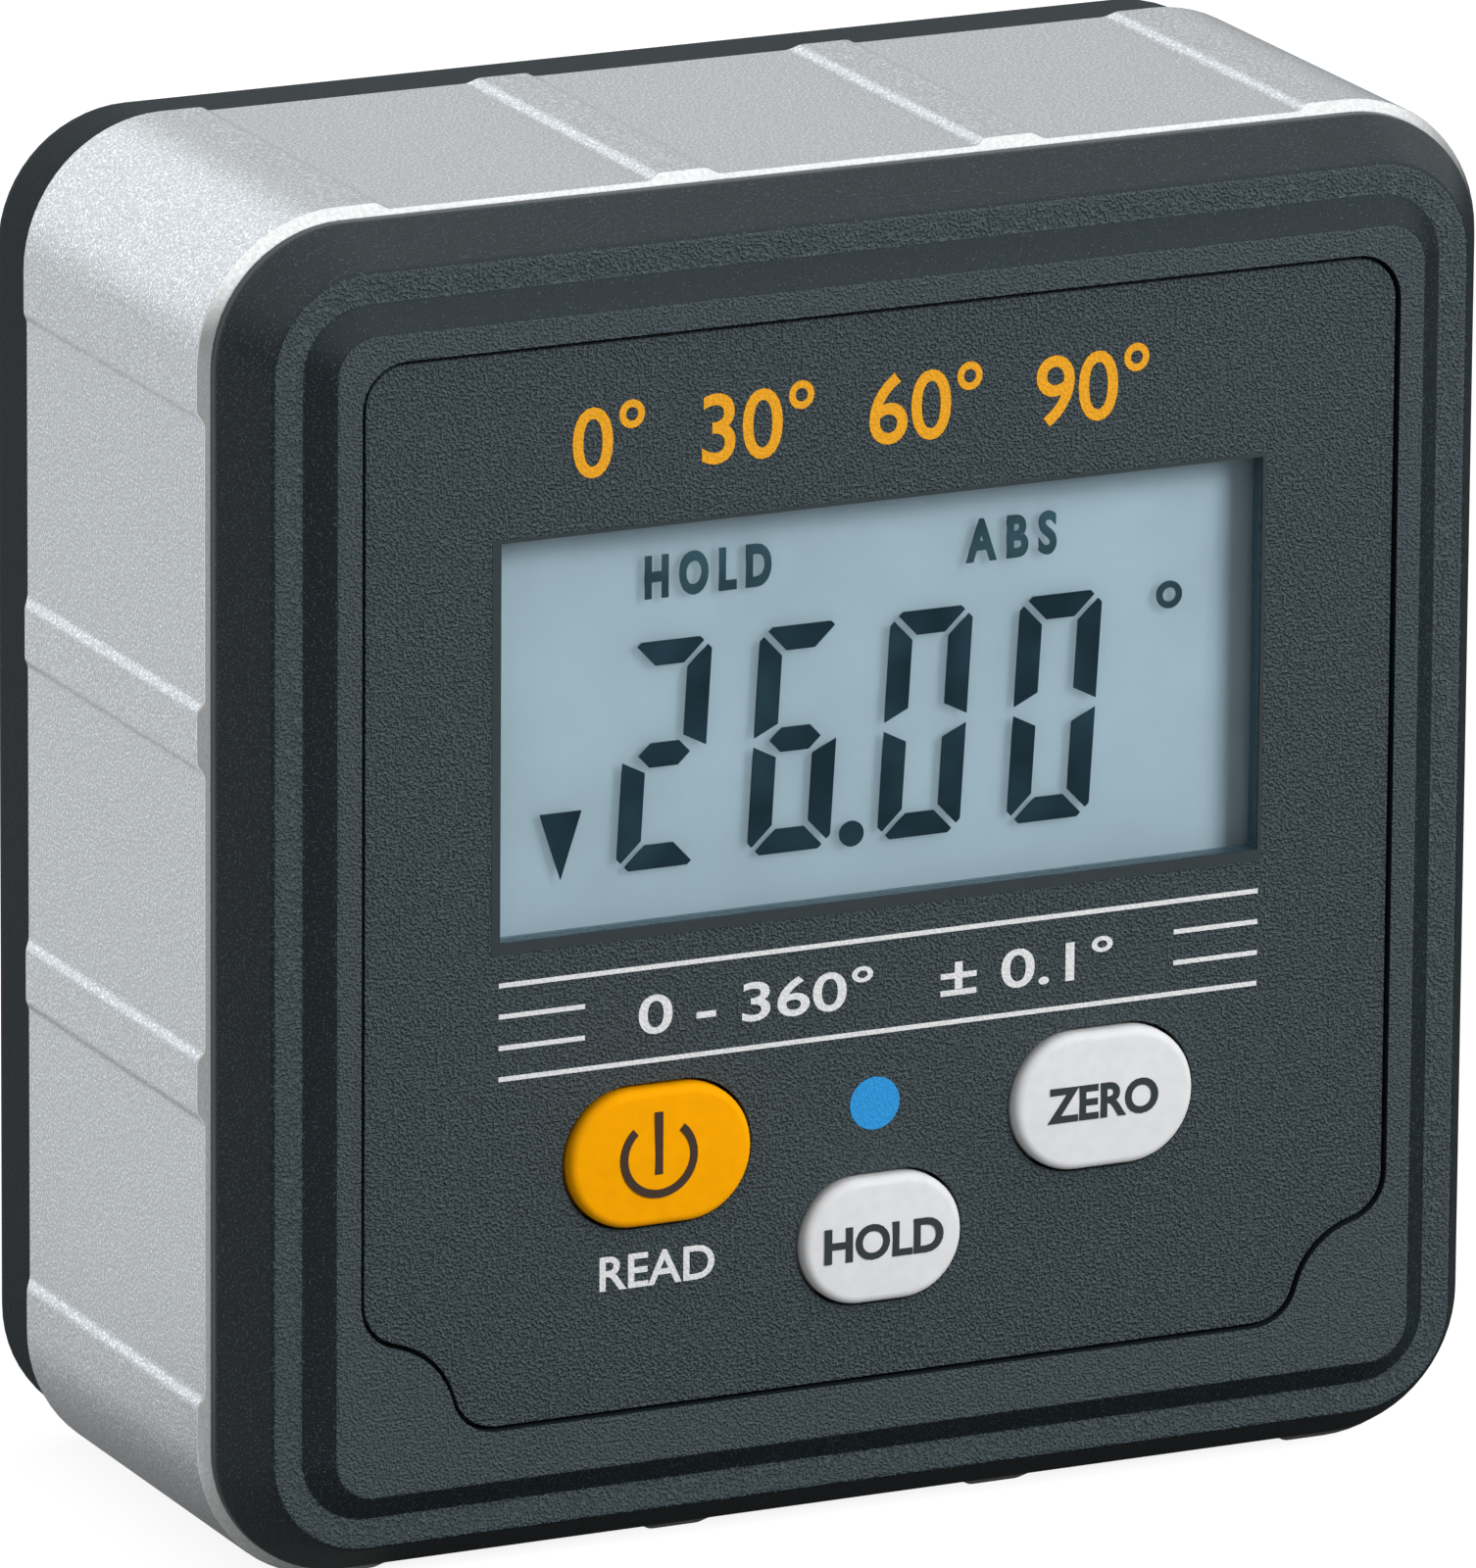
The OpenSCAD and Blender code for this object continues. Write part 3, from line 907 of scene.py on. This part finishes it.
@dataclass
class MeasuringFrame:
    """The ribbed aluminium frame with its bright end edges, and the magnets in its base."""

    edge_soft: float = 0.08
    magnet_soft: float = 0.12
    round_angle: float = 32.0
    end_slope: float = 0.3
    end_flat: float = 0.9

    def build(self) -> None:
        """Models and dresses the frame and the magnets."""
        thing = copied_node("frame", "measuring_frame")
        soften(thing, self.edge_soft)
        smooth(thing, self.round_angle)
        blasted = BlastedAluminium().material()
        bright = BareMetal("bright_cut_edge", "#f2f4f5", 0.3, size=0.15).material()
        dress(thing, [blasted, bright], self.is_end)
        hand_over(thing, Body.HOUSING, Slot.FRAME, "frame")
        magnets = copied_node("base_magnets", "base_magnet_pair")
        soften(magnets, self.magnet_soft)
        smooth(magnets)
        dress(magnets, [BareMetal("nickel_plate", "#b4b3ad", 0.28, (1.0, 0.1, 1.0)).material()])
        hand_over(magnets, Body.HOUSING, Slot.MAGNET, "base_magnets")

    def is_end(self, normal: Vector) -> int:
        """Picks the bright finish for the sloping end edges."""
        return int(self.end_slope < abs(normal.y) < self.end_flat)


@dataclass
class FrontBezel:
    """The stepped bezel round the front panel."""

    round_angle: float = 40.0
    flat: float = 0.93
    upright: float = 0.2

    def build(self) -> None:
        """Models and dresses the bezel."""
        thing = copied_node("front_bezel", "stepped_bezel")
        smooth(thing, self.round_angle)
        # The slopes and the strip are the land's plastic in darker colours: painted shade, over the
        # real finer grain of the slopes and the smooth strip
        dress(
            thing,
            [
                MouldedPlastic("bezel_slope", "#161d21", Grain.SPECKLED, 0.38, 0.45).material(),
                MouldedPlastic("bezel_land", "#444e52", Grain.PEBBLED, 0.38, 0.35).material(),
                MouldedPlastic("bezel_strip", "#20282c", Grain.POLISHED, 0.36, 0.40).material(),
            ],
            self.zone,
        )
        hand_over(thing, Body.HOUSING, Slot.SLATE, "front_bezel")

    def zone(self, normal: Vector) -> int:
        """Picks the grain and the colour of a slope, a land or the upright strip; the darker colours
        of the slopes and the strip are painted shade.
        """
        if normal.y < -self.flat:
            return 1
        return 2 if abs(normal.y) < self.upright else 0


@dataclass
class FrontPanel:
    """The grained panel and what is printed on it."""

    edge_soft: float = 0.1
    sharp_angle: float = 60.0
    round_angle: float = 40.0
    ink: float = 0.02
    line: float = 0.21
    line_reach: float = 17.6
    stub_reach: float = 13.66
    long_lines: tuple[float, float] = (-3.42, -7.48)
    short_lines: tuple[float, float] = (-4.77, -6.13)
    dot: Point = (-0.25, -10.6)
    dot_r: float = 1.15
    dot_points: int = 48
    scale: Lettering = Lettering("0°  30°  60°  90°", (-1.1, 19.5), 26.5, 3.2, 0.012)
    reach: Lettering = Lettering("0 - 360°   ± 0.1°", (-0.2, -5.45), 22.0, 1.8, 0.012)
    read: Lettering = Lettering("READ", (-10.28, -16.55), 5.3, 1.5, 0.016)
    rim: tuple[float, float, float, float] = (-17.95, -2.1, 17.72, 15.72)

    def build(self) -> None:
        """Models and dresses the panel and its print."""
        thing = copied_node("front_panel", "grained_panel")
        soften(thing, self.edge_soft, self.sharp_angle)
        smooth(thing, self.round_angle)
        dress(thing, [MouldedPlastic("panel_grain", "#444e52", Grain.LEATHER, 0.38, 0.35).material()])
        hand_over(thing, Body.HOUSING, Slot.PANEL, "front_panel")
        white = PrintedInk("white_ink", "#d6d7d9").material()
        self.print_lines(white)
        self.print_words(white)
        self.build_rim()

    @property
    def face(self) -> float:
        """Depth of the panel's face."""
        return Span.of("front_panel").low.y

    def lay(self, thing: Thing, ink: Material) -> None:
        """Dresses a printed piece and lets it ride with the panel.

        Args:
            thing: The piece.
            ink: Its finish.
        """
        dress(thing, [ink])
        hand_over(thing, Body.HOUSING, Slot.PANEL)

    def print_lines(self, white: Material) -> None:
        """Prints the long and the short lines below the display.

        Args:
            white: White ink.
        """
        half = self.line / 2
        end, stub = self.line_reach, self.stub_reach
        lines = [bar(-end, z - half, end, z + half) for z in self.long_lines]
        for z in self.short_lines:
            lines.append(bar(-end, z - half, -stub, z + half))
            lines.append(bar(stub, z - half, end, z + half))
        self.lay(plate("printed_lines", lines, self.face - self.ink, self.face), white)

    def print_words(self, white: Material) -> None:
        """Prints the scale, the range, the read mark and the blue dot.

        Args:
            white: White ink.
        """
        front = self.face - self.ink
        amber = PrintedInk("amber_ink", "#e09d24").material()
        self.lay(self.scale.build("printed_scale", front, self.face), amber)
        self.lay(self.reach.build("printed_range", front, self.face), white)
        self.lay(self.read.build("printed_read", front, self.face), white)
        outline = circle(self.dot, self.dot_r, self.dot_points)
        dot = plate("printed_dot", [outline], front, self.face)
        self.lay(dot, PrintedInk("blue_ink", "#2f8fd0").material())

    def build_rim(self) -> None:
        """Adds the smooth rim round the window."""
        window = Span.of("display_lens")
        low = window.low.z - FACE_Z
        high = window.high.z - FACE_Z
        hole = bar(window.low.x, low, window.high.x, high)
        thing = plate("window_rim", [bar(*self.rim), hole], self.face - self.ink, self.face)
        self.lay(thing, MouldedPlastic("window_rim", "#343b3f", Grain.POLISHED, 0.45, 0.3).material())


@dataclass(frozen=True)
class SevenSegment:
    """A leaning figure made of seven mitred bars."""

    width: float = 3.8
    height: float = 9.8
    bar: float = 1.05
    gap: float = 0.2
    corner: float = 0.55
    lean: float = math.radians(3.3)

    def bars(self) -> dict[str, Outline]:
        """Works out the seven bars of an upright figure.

        Returns:
            Outlines by the bars' usual letters.
        """
        w, h, t, s, c = self.width, self.height, self.bar, self.gap, self.corner
        m = h / 2
        near, far = (c - s) / 2, (c + s) / 2
        top = [
            (c, h), (w - c, h), (w - far, h - near),
            (w - t - s, h - t), (t + s, h - t), (far, h - near),
        ]
        left = [(0, h - c), (0, m + s), (t, m + t / 2 + s), (t, h - t - s), (near, h - far)]
        waist = [
            (t / 2 + s, m), (t + s, m + t / 2), (w - t - s, m + t / 2),
            (w - t / 2 - s, m), (w - t - s, m - t / 2), (t + s, m - t / 2),
        ]
        foot = self.upended(left)
        return {
            "a": top, "b": self.swapped(left), "c": self.swapped(foot), "d": self.upended(top),
            "e": foot, "f": left, "g": waist,
        }

    def upended(self, outline: Outline) -> Outline:
        """Turns an outline upside down within the figure."""
        return [(x, self.height - z) for x, z in outline]

    def swapped(self, outline: Outline) -> Outline:
        """Swaps the left and the right of an outline within the figure."""
        return [(self.width - x, z) for x, z in outline]

    def figure(self, letters: str, left: float, foot: float) -> list[Outline]:
        """Places the bars of one figure.

        Args:
            letters: Bars that it has.
            left: Its left edge at its foot.
            foot: Height of its foot.

        Returns:
            Their outlines.
        """
        slope = math.tan(self.lean)
        found = [outline for key, outline in self.bars().items() if key in letters]
        return [[(left + x + z * slope, foot + z) for x, z in outline] for outline in found]


class Reading(Enum):
    """The bars that make each figure of the reading."""

    TWO = "abged"
    SIX = "afgedc"
    ZERO = "abcdef"


@dataclass
class Display:
    """The display: clear lens, two glasses, liquid crystal and reflector."""

    foot: float = 0.42
    first: float = -11.66
    pitch: float = 6.02
    crystal: float = 0.02
    film_step: float = 0.06
    film_alpha: float = 0.15
    edge: float = 0.5
    mark: tuple[Point, Point, Point] = ((-15.16, 3.32), (-14.21, 0.42), (-13.26, 3.32))
    point: Point = (-0.81, 0.87)
    point_r: float = 0.56
    degree: Point = (13.89, 9.62)
    degree_r: float = 0.6
    degree_hole: float = 0.31
    figures: tuple[Reading, ...] = (Reading.TWO, Reading.SIX, Reading.ZERO, Reading.ZERO)
    hold: Lettering = Lettering("H O L D", (-7.51, 12.99), 5.8, 1.9, 0.046)
    absolute: Lettering = Lettering("A B S", (6.49, 12.94), 4.2, 1.9, 0.036)

    def build(self) -> None:
        """Models the reading and dresses the display."""
        self.dress_sheets()
        depth = Span.of("lcd_rear_glass").low.y
        front, back = depth - self.crystal, depth + self.crystal
        ink = DisplayInk("crystal_on").material()
        pale = DisplayInk("crystal_mark", "#2b444d").material()
        haze = DisplayInk("crystal_haze", alpha=self.film_alpha).material()
        lit: list[Outline] = []
        for i, figure in enumerate(self.figures):
            lit += SevenSegment().figure(figure.value, self.first + i * self.pitch, self.foot)
        ring = [circle(self.degree, r) for r in (self.degree_r, self.degree_hole)]
        point = [circle(self.point, self.point_r)]
        for thing, finish in (
            (plate("reading_figures", lit, front, back), ink),
            (plate("reading_point", point, front, back), ink),
            (plate("reading_degree", ring, front, back), pale),
            (plate("reading_arrow", [list(self.mark)], front, back), ink),
            (self.hold.build("reading_hold", front, back), pale),
            (self.absolute.build("reading_abs", front, back), pale),
        ):
            self.show(thing, finish, haze)

    def show(self, thing: Thing, ink: Material, haze: Material) -> None:
        """Dresses a piece of the reading, with a thin film behind it that shades the reflector.

        Args:
            thing: The piece.
            ink: Its finish.
            haze: Finish of the film.
        """
        film = new_object(thing.name + "_film", thing.data.copy())
        film.data.transform(Matrix.Translation((0, self.film_step * MM, 0)))
        for piece, finish in ((thing, ink), (film, haze)):
            dress(piece, [finish])
            hand_over(piece, Body.HOUSING, Slot.GLASS)
        thing.visible_shadow = False

    def dress_sheets(self) -> None:
        """Dresses the lens, the glasses and the reflector."""
        lens = copied_node("display_lens", "clear_lens_plate")
        smooth(lens)
        face = ClearSheet("clear_lens", "#101416", 0.03).material()
        # The lens's side faces are near-opaque dark teal: painted shade and painted reflection of the
        # display in the window's walls
        dress(lens, [face, ClearSheet("lens_edge", "#2f4a56", 0.85).material()], self.is_edge)
        hand_over(lens, Body.HOUSING, Slot.LENS, "display_lens")
        glass = ClearSheet("display_glass", "#101618", 0.01).material()
        panes = [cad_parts[node] for node in ("lcd_front_glass", "lcd_rear_glass")]
        for pane in panes:
            dress(pane, [glass])
        for sheet in (lens, *panes):
            sheet.visible_shadow = False
            sheet.visible_diffuse = False
        dress(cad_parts["lcd_reflector"], [ReflectorFilm().material()])

    def is_edge(self, normal: Vector) -> int:
        """Picks the finish for the edges of the lens, a near-opaque dark teal that is painted shade
        and painted reflection of the display.
        """
        return int(abs(normal.y) < self.edge)


@dataclass
class Keypad:
    """The three rubber-backed keys with their marks."""

    ink_in: float = 0.06
    ink_out: float = 0.02
    power: Point = (-10.47, -11.55)
    ring_r: float = 1.6
    stroke: float = 0.35
    ring_gap: float = 42.0
    ring_steps: int = 36
    stem_top: float = 1.95
    stem_foot: float = -0.75
    round_angle: float = 40.0
    sheen: str = "#ffffff"
    hold: Lettering = Lettering("HOLD", (0.0, -16.5), 5.5, 1.56, 0.028)
    zero: Lettering = Lettering("ZERO", (10.18, -11.6), 5.15, 1.56, 0.028)

    def build(self) -> None:
        """Models and dresses the keys and their marks."""
        smoothed = Grain.POLISHED
        amber = MouldedPlastic("amber_plastic", "#eb9d00", smoothed, 0.5, 0.06, self.sheen).material()
        ivory = MouldedPlastic("ivory_plastic", "#d3d4d6", smoothed, 0.5, 0.15, self.sheen).material()
        dark = MouldedPlastic("key_mark", "#34393c", smoothed, 0.5, 0.3).material()
        brown = MouldedPlastic("power_mark", "#41332b", smoothed, 0.5, 0.3).material()
        self.cap("power_key", Body.POWER, Slot.AMBER, amber)
        self.cap("hold_key", Body.HOLD, Slot.IVORY, ivory)
        self.cap("zero_key", Body.ZERO, Slot.IVORY, ivory)
        top = Span.of("hold_key").low.y
        front, back = top - self.ink_out, top + self.ink_in
        marks = (
            (plate("power_mark", self.power_mark(), front, back), brown, Body.POWER, Slot.AMBER),
            (self.hold.build("hold_mark", front, back), dark, Body.HOLD, Slot.IVORY),
            (self.zero.build("zero_mark", front, back), dark, Body.ZERO, Slot.IVORY),
        )
        for thing, finish, body, slot in marks:
            dress(thing, [finish])
            hand_over(thing, body, slot)

    def cap(self, node: str, body: Body, slot: Slot, finish: Material) -> None:
        """Models one key cap.

        Args:
            node: Node that it stands for.
            body: Body that it moves with.
            slot: Slot of its finish.
            finish: Its finish.
        """
        thing = copied_node(node, node + "_cap")
        smooth(thing, self.round_angle)
        dress(thing, [finish])
        hand_over(thing, body, slot, node)

    def power_mark(self) -> list[Outline]:
        """Works out the open ring and the stem of the power mark.

        Returns:
            Their outlines.
        """
        x, z = self.power
        half = self.stroke / 2
        start, end = 90 + self.ring_gap, 450 - self.ring_gap
        ring = arc(self.power, self.ring_r + half, start, end, self.ring_steps)
        ring += arc(self.power, self.ring_r - half, end, start, self.ring_steps)
        return [ring, bar(x - half, z + self.stem_foot, x + half, z + self.stem_top)]


@dataclass
class RearCover:
    """The rear cover with its battery door and screws."""

    edge_soft: float = 0.12
    sharp_angle: float = 50.0
    round_angle: float = 40.0

    def build(self) -> None:
        """Models and dresses the cover, the door and the screws."""
        slate = MouldedPlastic("cover_grain", "#20282c", Grain.SATIN, 0.6, 0.1).material()
        for node, name, body in (
            ("rear_cover", "rear_shell", Body.HOUSING),
            ("battery_door", "battery_lid", Body.DOOR),
        ):
            thing = copied_node(node, name)
            soften(thing, self.edge_soft, self.sharp_angle)
            smooth(thing, self.round_angle)
            dress(thing, [slate])
            hand_over(thing, body, Slot.SLATE, node)
        screws = copied_node("cover_screws", "cover_screw_set")
        soften(screws, self.edge_soft, self.sharp_angle)
        smooth(screws)
        dress(screws, [BareMetal("screw_zinc", "#9a9c9e", 0.34).material()])
        hand_over(screws, Body.HOUSING, Slot.SCREW, "cover_screws")


@dataclass
class BatteryBay:
    """The two cells with their springs and contact plates."""

    end: float = 0.7
    cell_angle: float = 40.0
    contact_angle: float = 60.0

    def build(self) -> None:
        """Models and dresses the cells and contacts."""
        jacket = MouldedPlastic("cell_sleeve", "#3c6f8c", Grain.POLISHED, 0.3, 0.5).material()
        steel = BareMetal("cell_end", "#c8c9c6", 0.25, size=0.4).material()
        for node in ("upper_cell", "lower_cell"):
            thing = copied_node(node, node + "_sleeved")
            smooth(thing, self.cell_angle)
            dress(thing, [jacket, steel], self.is_end)
            hand_over(thing, Body.HOUSING, Slot.CELL, node)
        plating = BareMetal("contact_plating", "#c9bd94", 0.3, (1.0, 0.2, 1.0)).material()
        for node in ("contact_springs", "contact_plates"):
            thing = copied_node(node, node + "_plated")
            smooth(thing, self.contact_angle)
            dress(thing, [plating])
            hand_over(thing, Body.HOUSING, Slot.CONTACT, node)

    def is_end(self, normal: Vector) -> int:
        """Picks bare metal for the ends of a cell."""
        return int(abs(normal.x) > self.end)


@dataclass
class Inside:
    """What the closed housing hides: board, parts, switches and light guide."""

    def build(self) -> None:
        """Dresses the hidden nodes."""
        chip = MouldedPlastic("chip_resin", "#1f2225", Grain.SATIN, 0.55, 0.4).material()
        switch = MouldedPlastic("switch_resin", "#2b2f33", Grain.SATIN, 0.5, 0.4).material()
        plunger = MouldedPlastic("plunger_resin", "#55595d", Grain.SATIN, 0.5, 0.4).material()
        guide = MouldedPlastic("light_guide", "#e6ecee", Grain.POLISHED, 0.2, 0.5).material()
        rubber = MouldedPlastic("contact_rubber", "#c77f7f", Grain.SATIN, 0.7, 0.2).material()
        finishes = {
            "main_board": CircuitBoard().material(),
            "light_guide": guide,
            "contact_strip": rubber,
            "board_screws": BareMetal("board_screw_zinc", "#a4a6a8", 0.34).material(),
            "radio_module": BareMetal("radio_shield", "#a9adb0", 0.3, (1.0, 1.0, 0.1)).material(),
            "microcontroller": chip,
            "tilt_sensor": chip,
        }
        for key in ("power", "hold", "zero"):
            finishes[key + "_switch"] = switch
            finishes[key + "_plunger"] = plunger
        for node, finish in finishes.items():
            dress(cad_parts[node], [finish])
            LOG.info("%s dressed with %s", node, finish.name)


@dataclass(frozen=True)
class SoftBox:
    """A soft lamp that points at the gauge, in metres and watts, and may show in mirrors."""

    name: str
    place: tuple[float, float, float]
    size: float
    watts: float
    mirrored: bool = False

    def build(self, aim: Vector) -> None:
        """Hangs the lamp.

        Args:
            aim: Point that it faces.
        """
        bpy.ops.object.light_add(type="AREA", location=self.place)
        lamp = bpy.context.object
        lamp.name = self.name
        lamp.data.shape = "DISK"
        lamp.data.size = self.size
        lamp.data.energy = self.watts
        lamp.visible_glossy = self.mirrored
        lamp.rotation_euler = (aim - Vector(self.place)).to_track_quat("-Z", "Y").to_euler()


@dataclass
class Studio:
    """Camera, lamps, pale floor and white surroundings.

    The camera is placed in millimetres and degrees. The floor and the lamps are in metres.
    """

    aim: tuple[float, float, float] = (-3.80, -7.009, 31.618)
    azimuth: float = -25.313
    elevation: float = 15.847
    distance: float = 802.144
    roll: float = 0.4196
    lens: float = 439.0
    sensor: float = 36.0
    clip: float = 0.05
    ambient: float = 0.55
    mirror_dark: float = 0.04
    mirror_light: float = 0.92
    mirror_back: Range = (-0.1, 0.5)
    mirror_side: Range = (0.1, 0.8)
    mirror_fade: Range = (1.08, 0.6)
    mirror_top: float = 1.08
    mirror_rise: Range = (0.0, 0.6)
    mirror_floor: float = 0.90
    floor_grey: float = 0.3
    floor_white: float = 0.87
    floor_side: Range = (-0.020, -0.042)
    floor_back: Range = (-0.02, 0.02)
    floor_front: float = 0.34
    floor_right: Range = (0.07, 0.13)
    floor_near: Range = (-0.03, -0.06)
    floor_dim: float = 0.6
    floor_rough: float = 0.9
    floor_size: float = 8.0
    lamps: tuple[SoftBox, ...] = (
        SoftBox("key_lamp", (0.28, -0.42, 0.25), 0.28, 1.72),
        SoftBox("top_lamp", (0.40, -0.72, 0.62), 0.40, 3.6),
        SoftBox("rim_lamp", (-0.32, 0.95, 0.50), 1.20, 1.5, True),
        SoftBox("back_lamp", (0.80, 0.55, 0.14), 0.50, 3.0),
    )

    def build(self) -> None:
        """Sets up everything round the gauge."""
        bpy.context.scene.view_settings.view_transform = "Standard"
        self.place_camera()
        self.surround()
        self.lay_floor()
        aim = Vector((0, 0, FACE_Z * MM))
        for lamp in self.lamps:
            lamp.build(aim)

    def place_camera(self) -> None:
        """Places the camera at the photograph's viewing angle."""
        turn, lift, tip = (math.radians(a) for a in (self.azimuth, self.elevation, self.roll))
        level = math.cos(lift)
        back = Vector((math.sin(turn) * level, -math.cos(turn) * level, math.sin(lift)))
        right = Vector((math.cos(turn), math.sin(turn), 0))
        up = back.cross(right)
        side = right * math.cos(tip) + up * math.sin(tip)
        head = up * math.cos(tip) - right * math.sin(tip)
        place = (Vector(self.aim) + back * self.distance) * MM
        bpy.ops.object.camera_add()
        camera = bpy.context.object
        camera.data.sensor_fit = "VERTICAL"
        camera.data.sensor_height = self.sensor
        camera.data.lens = self.lens
        camera.data.clip_start = self.clip
        axes = Matrix((side, head, back)).transposed().to_4x4()
        camera.matrix_world = Matrix.Translation(place) @ axes
        bpy.context.scene.camera = camera

    def surround(self) -> None:
        """Makes the world white where it is seen and dim where it lights.

        In mirrors it is pale behind the gauge and above it, and dark in front.
        """
        world = bpy.data.worlds.new("studio")
        bpy.context.scene.world = world
        world.use_nodes = True
        wiring = Wiring(world.node_tree)
        path = wiring.add("ShaderNodeLightPath").outputs
        side, back, up = wiring.parts(wiring.add("ShaderNodeTexCoord").outputs["Generated"])
        fade = wiring.span(side, *self.mirror_side, *self.mirror_fade)
        behind = wiring.span(back, *self.mirror_back, self.mirror_dark, self.mirror_light)
        behind = wiring.reckon("MULTIPLY", behind, fade)
        above = wiring.span(up, *self.mirror_rise, self.mirror_dark, self.mirror_top)
        mirrored = wiring.reckon("MAXIMUM", behind, above)
        lit = wiring.switch(path["Is Glossy Ray"], self.ambient, mirrored)
        seen = wiring.reckon("MAXIMUM", path["Is Camera Ray"], path["Is Transmission Ray"])
        light = world.node_tree.nodes["Background"]
        light.inputs["Color"].default_value = (1, 1, 1, 1)
        wiring.feed(light.inputs["Strength"], wiring.switch(seen, lit, 1.0))

    def lay_floor(self) -> None:
        """Lays a pale floor that keeps the shadow.

        In mirrors it is pale on the left, dimmer at the left and right front, and dark elsewhere.
        """
        bpy.ops.mesh.primitive_plane_add(size=self.floor_size)
        floor = bpy.context.object
        floor.name = "studio_floor"
        graph = Graph("studio_floor")
        path = graph.add("ShaderNodeLightPath").outputs
        side, back, _ = graph.parts(graph.place)
        left = graph.reckon(
            "MULTIPLY",
            graph.span(side, *self.floor_side),
            graph.span(back, *self.floor_back, self.floor_front),
        )
        right = graph.reckon(
            "MULTIPLY",
            graph.span(side, *self.floor_right, 0.0, self.floor_dim),
            graph.span(back, *self.floor_near),
        )
        pale = graph.reckon("MAXIMUM", left, right)
        mirrored = graph.span(pale, 0.0, 1.0, self.mirror_dark, self.mirror_floor)
        shown = graph.switch(path["Is Glossy Ray"], 0.0, mirrored)
        grey = self.floor_grey
        graph.set(
            Base_Color=graph.between(path["Is Glossy Ray"], (grey, grey, grey, 1), (0, 0, 0, 1)),
            Roughness=self.floor_rough,
            Specular_IOR_Level=0.0,
            Emission_Color=(1, 1, 1, 1),
            Emission_Strength=graph.switch(path["Is Camera Ray"], shown, self.floor_white),
        )
        floor.data.materials.append(graph.material)


def main() -> None:
    """Builds the studio and each part of the gauge in turn."""
    logging.basicConfig(level=logging.INFO, format="%(name)s: %(message)s")
    Studio().build()
    kinds = (MeasuringFrame, FrontBezel, FrontPanel, Display, Keypad, RearCover, BatteryBay, Inside)
    for part in [kind() for kind in kinds]:
        part.build()
        LOG.info("%s done", type(part).__name__)


if __name__ == "__main__":
    main()
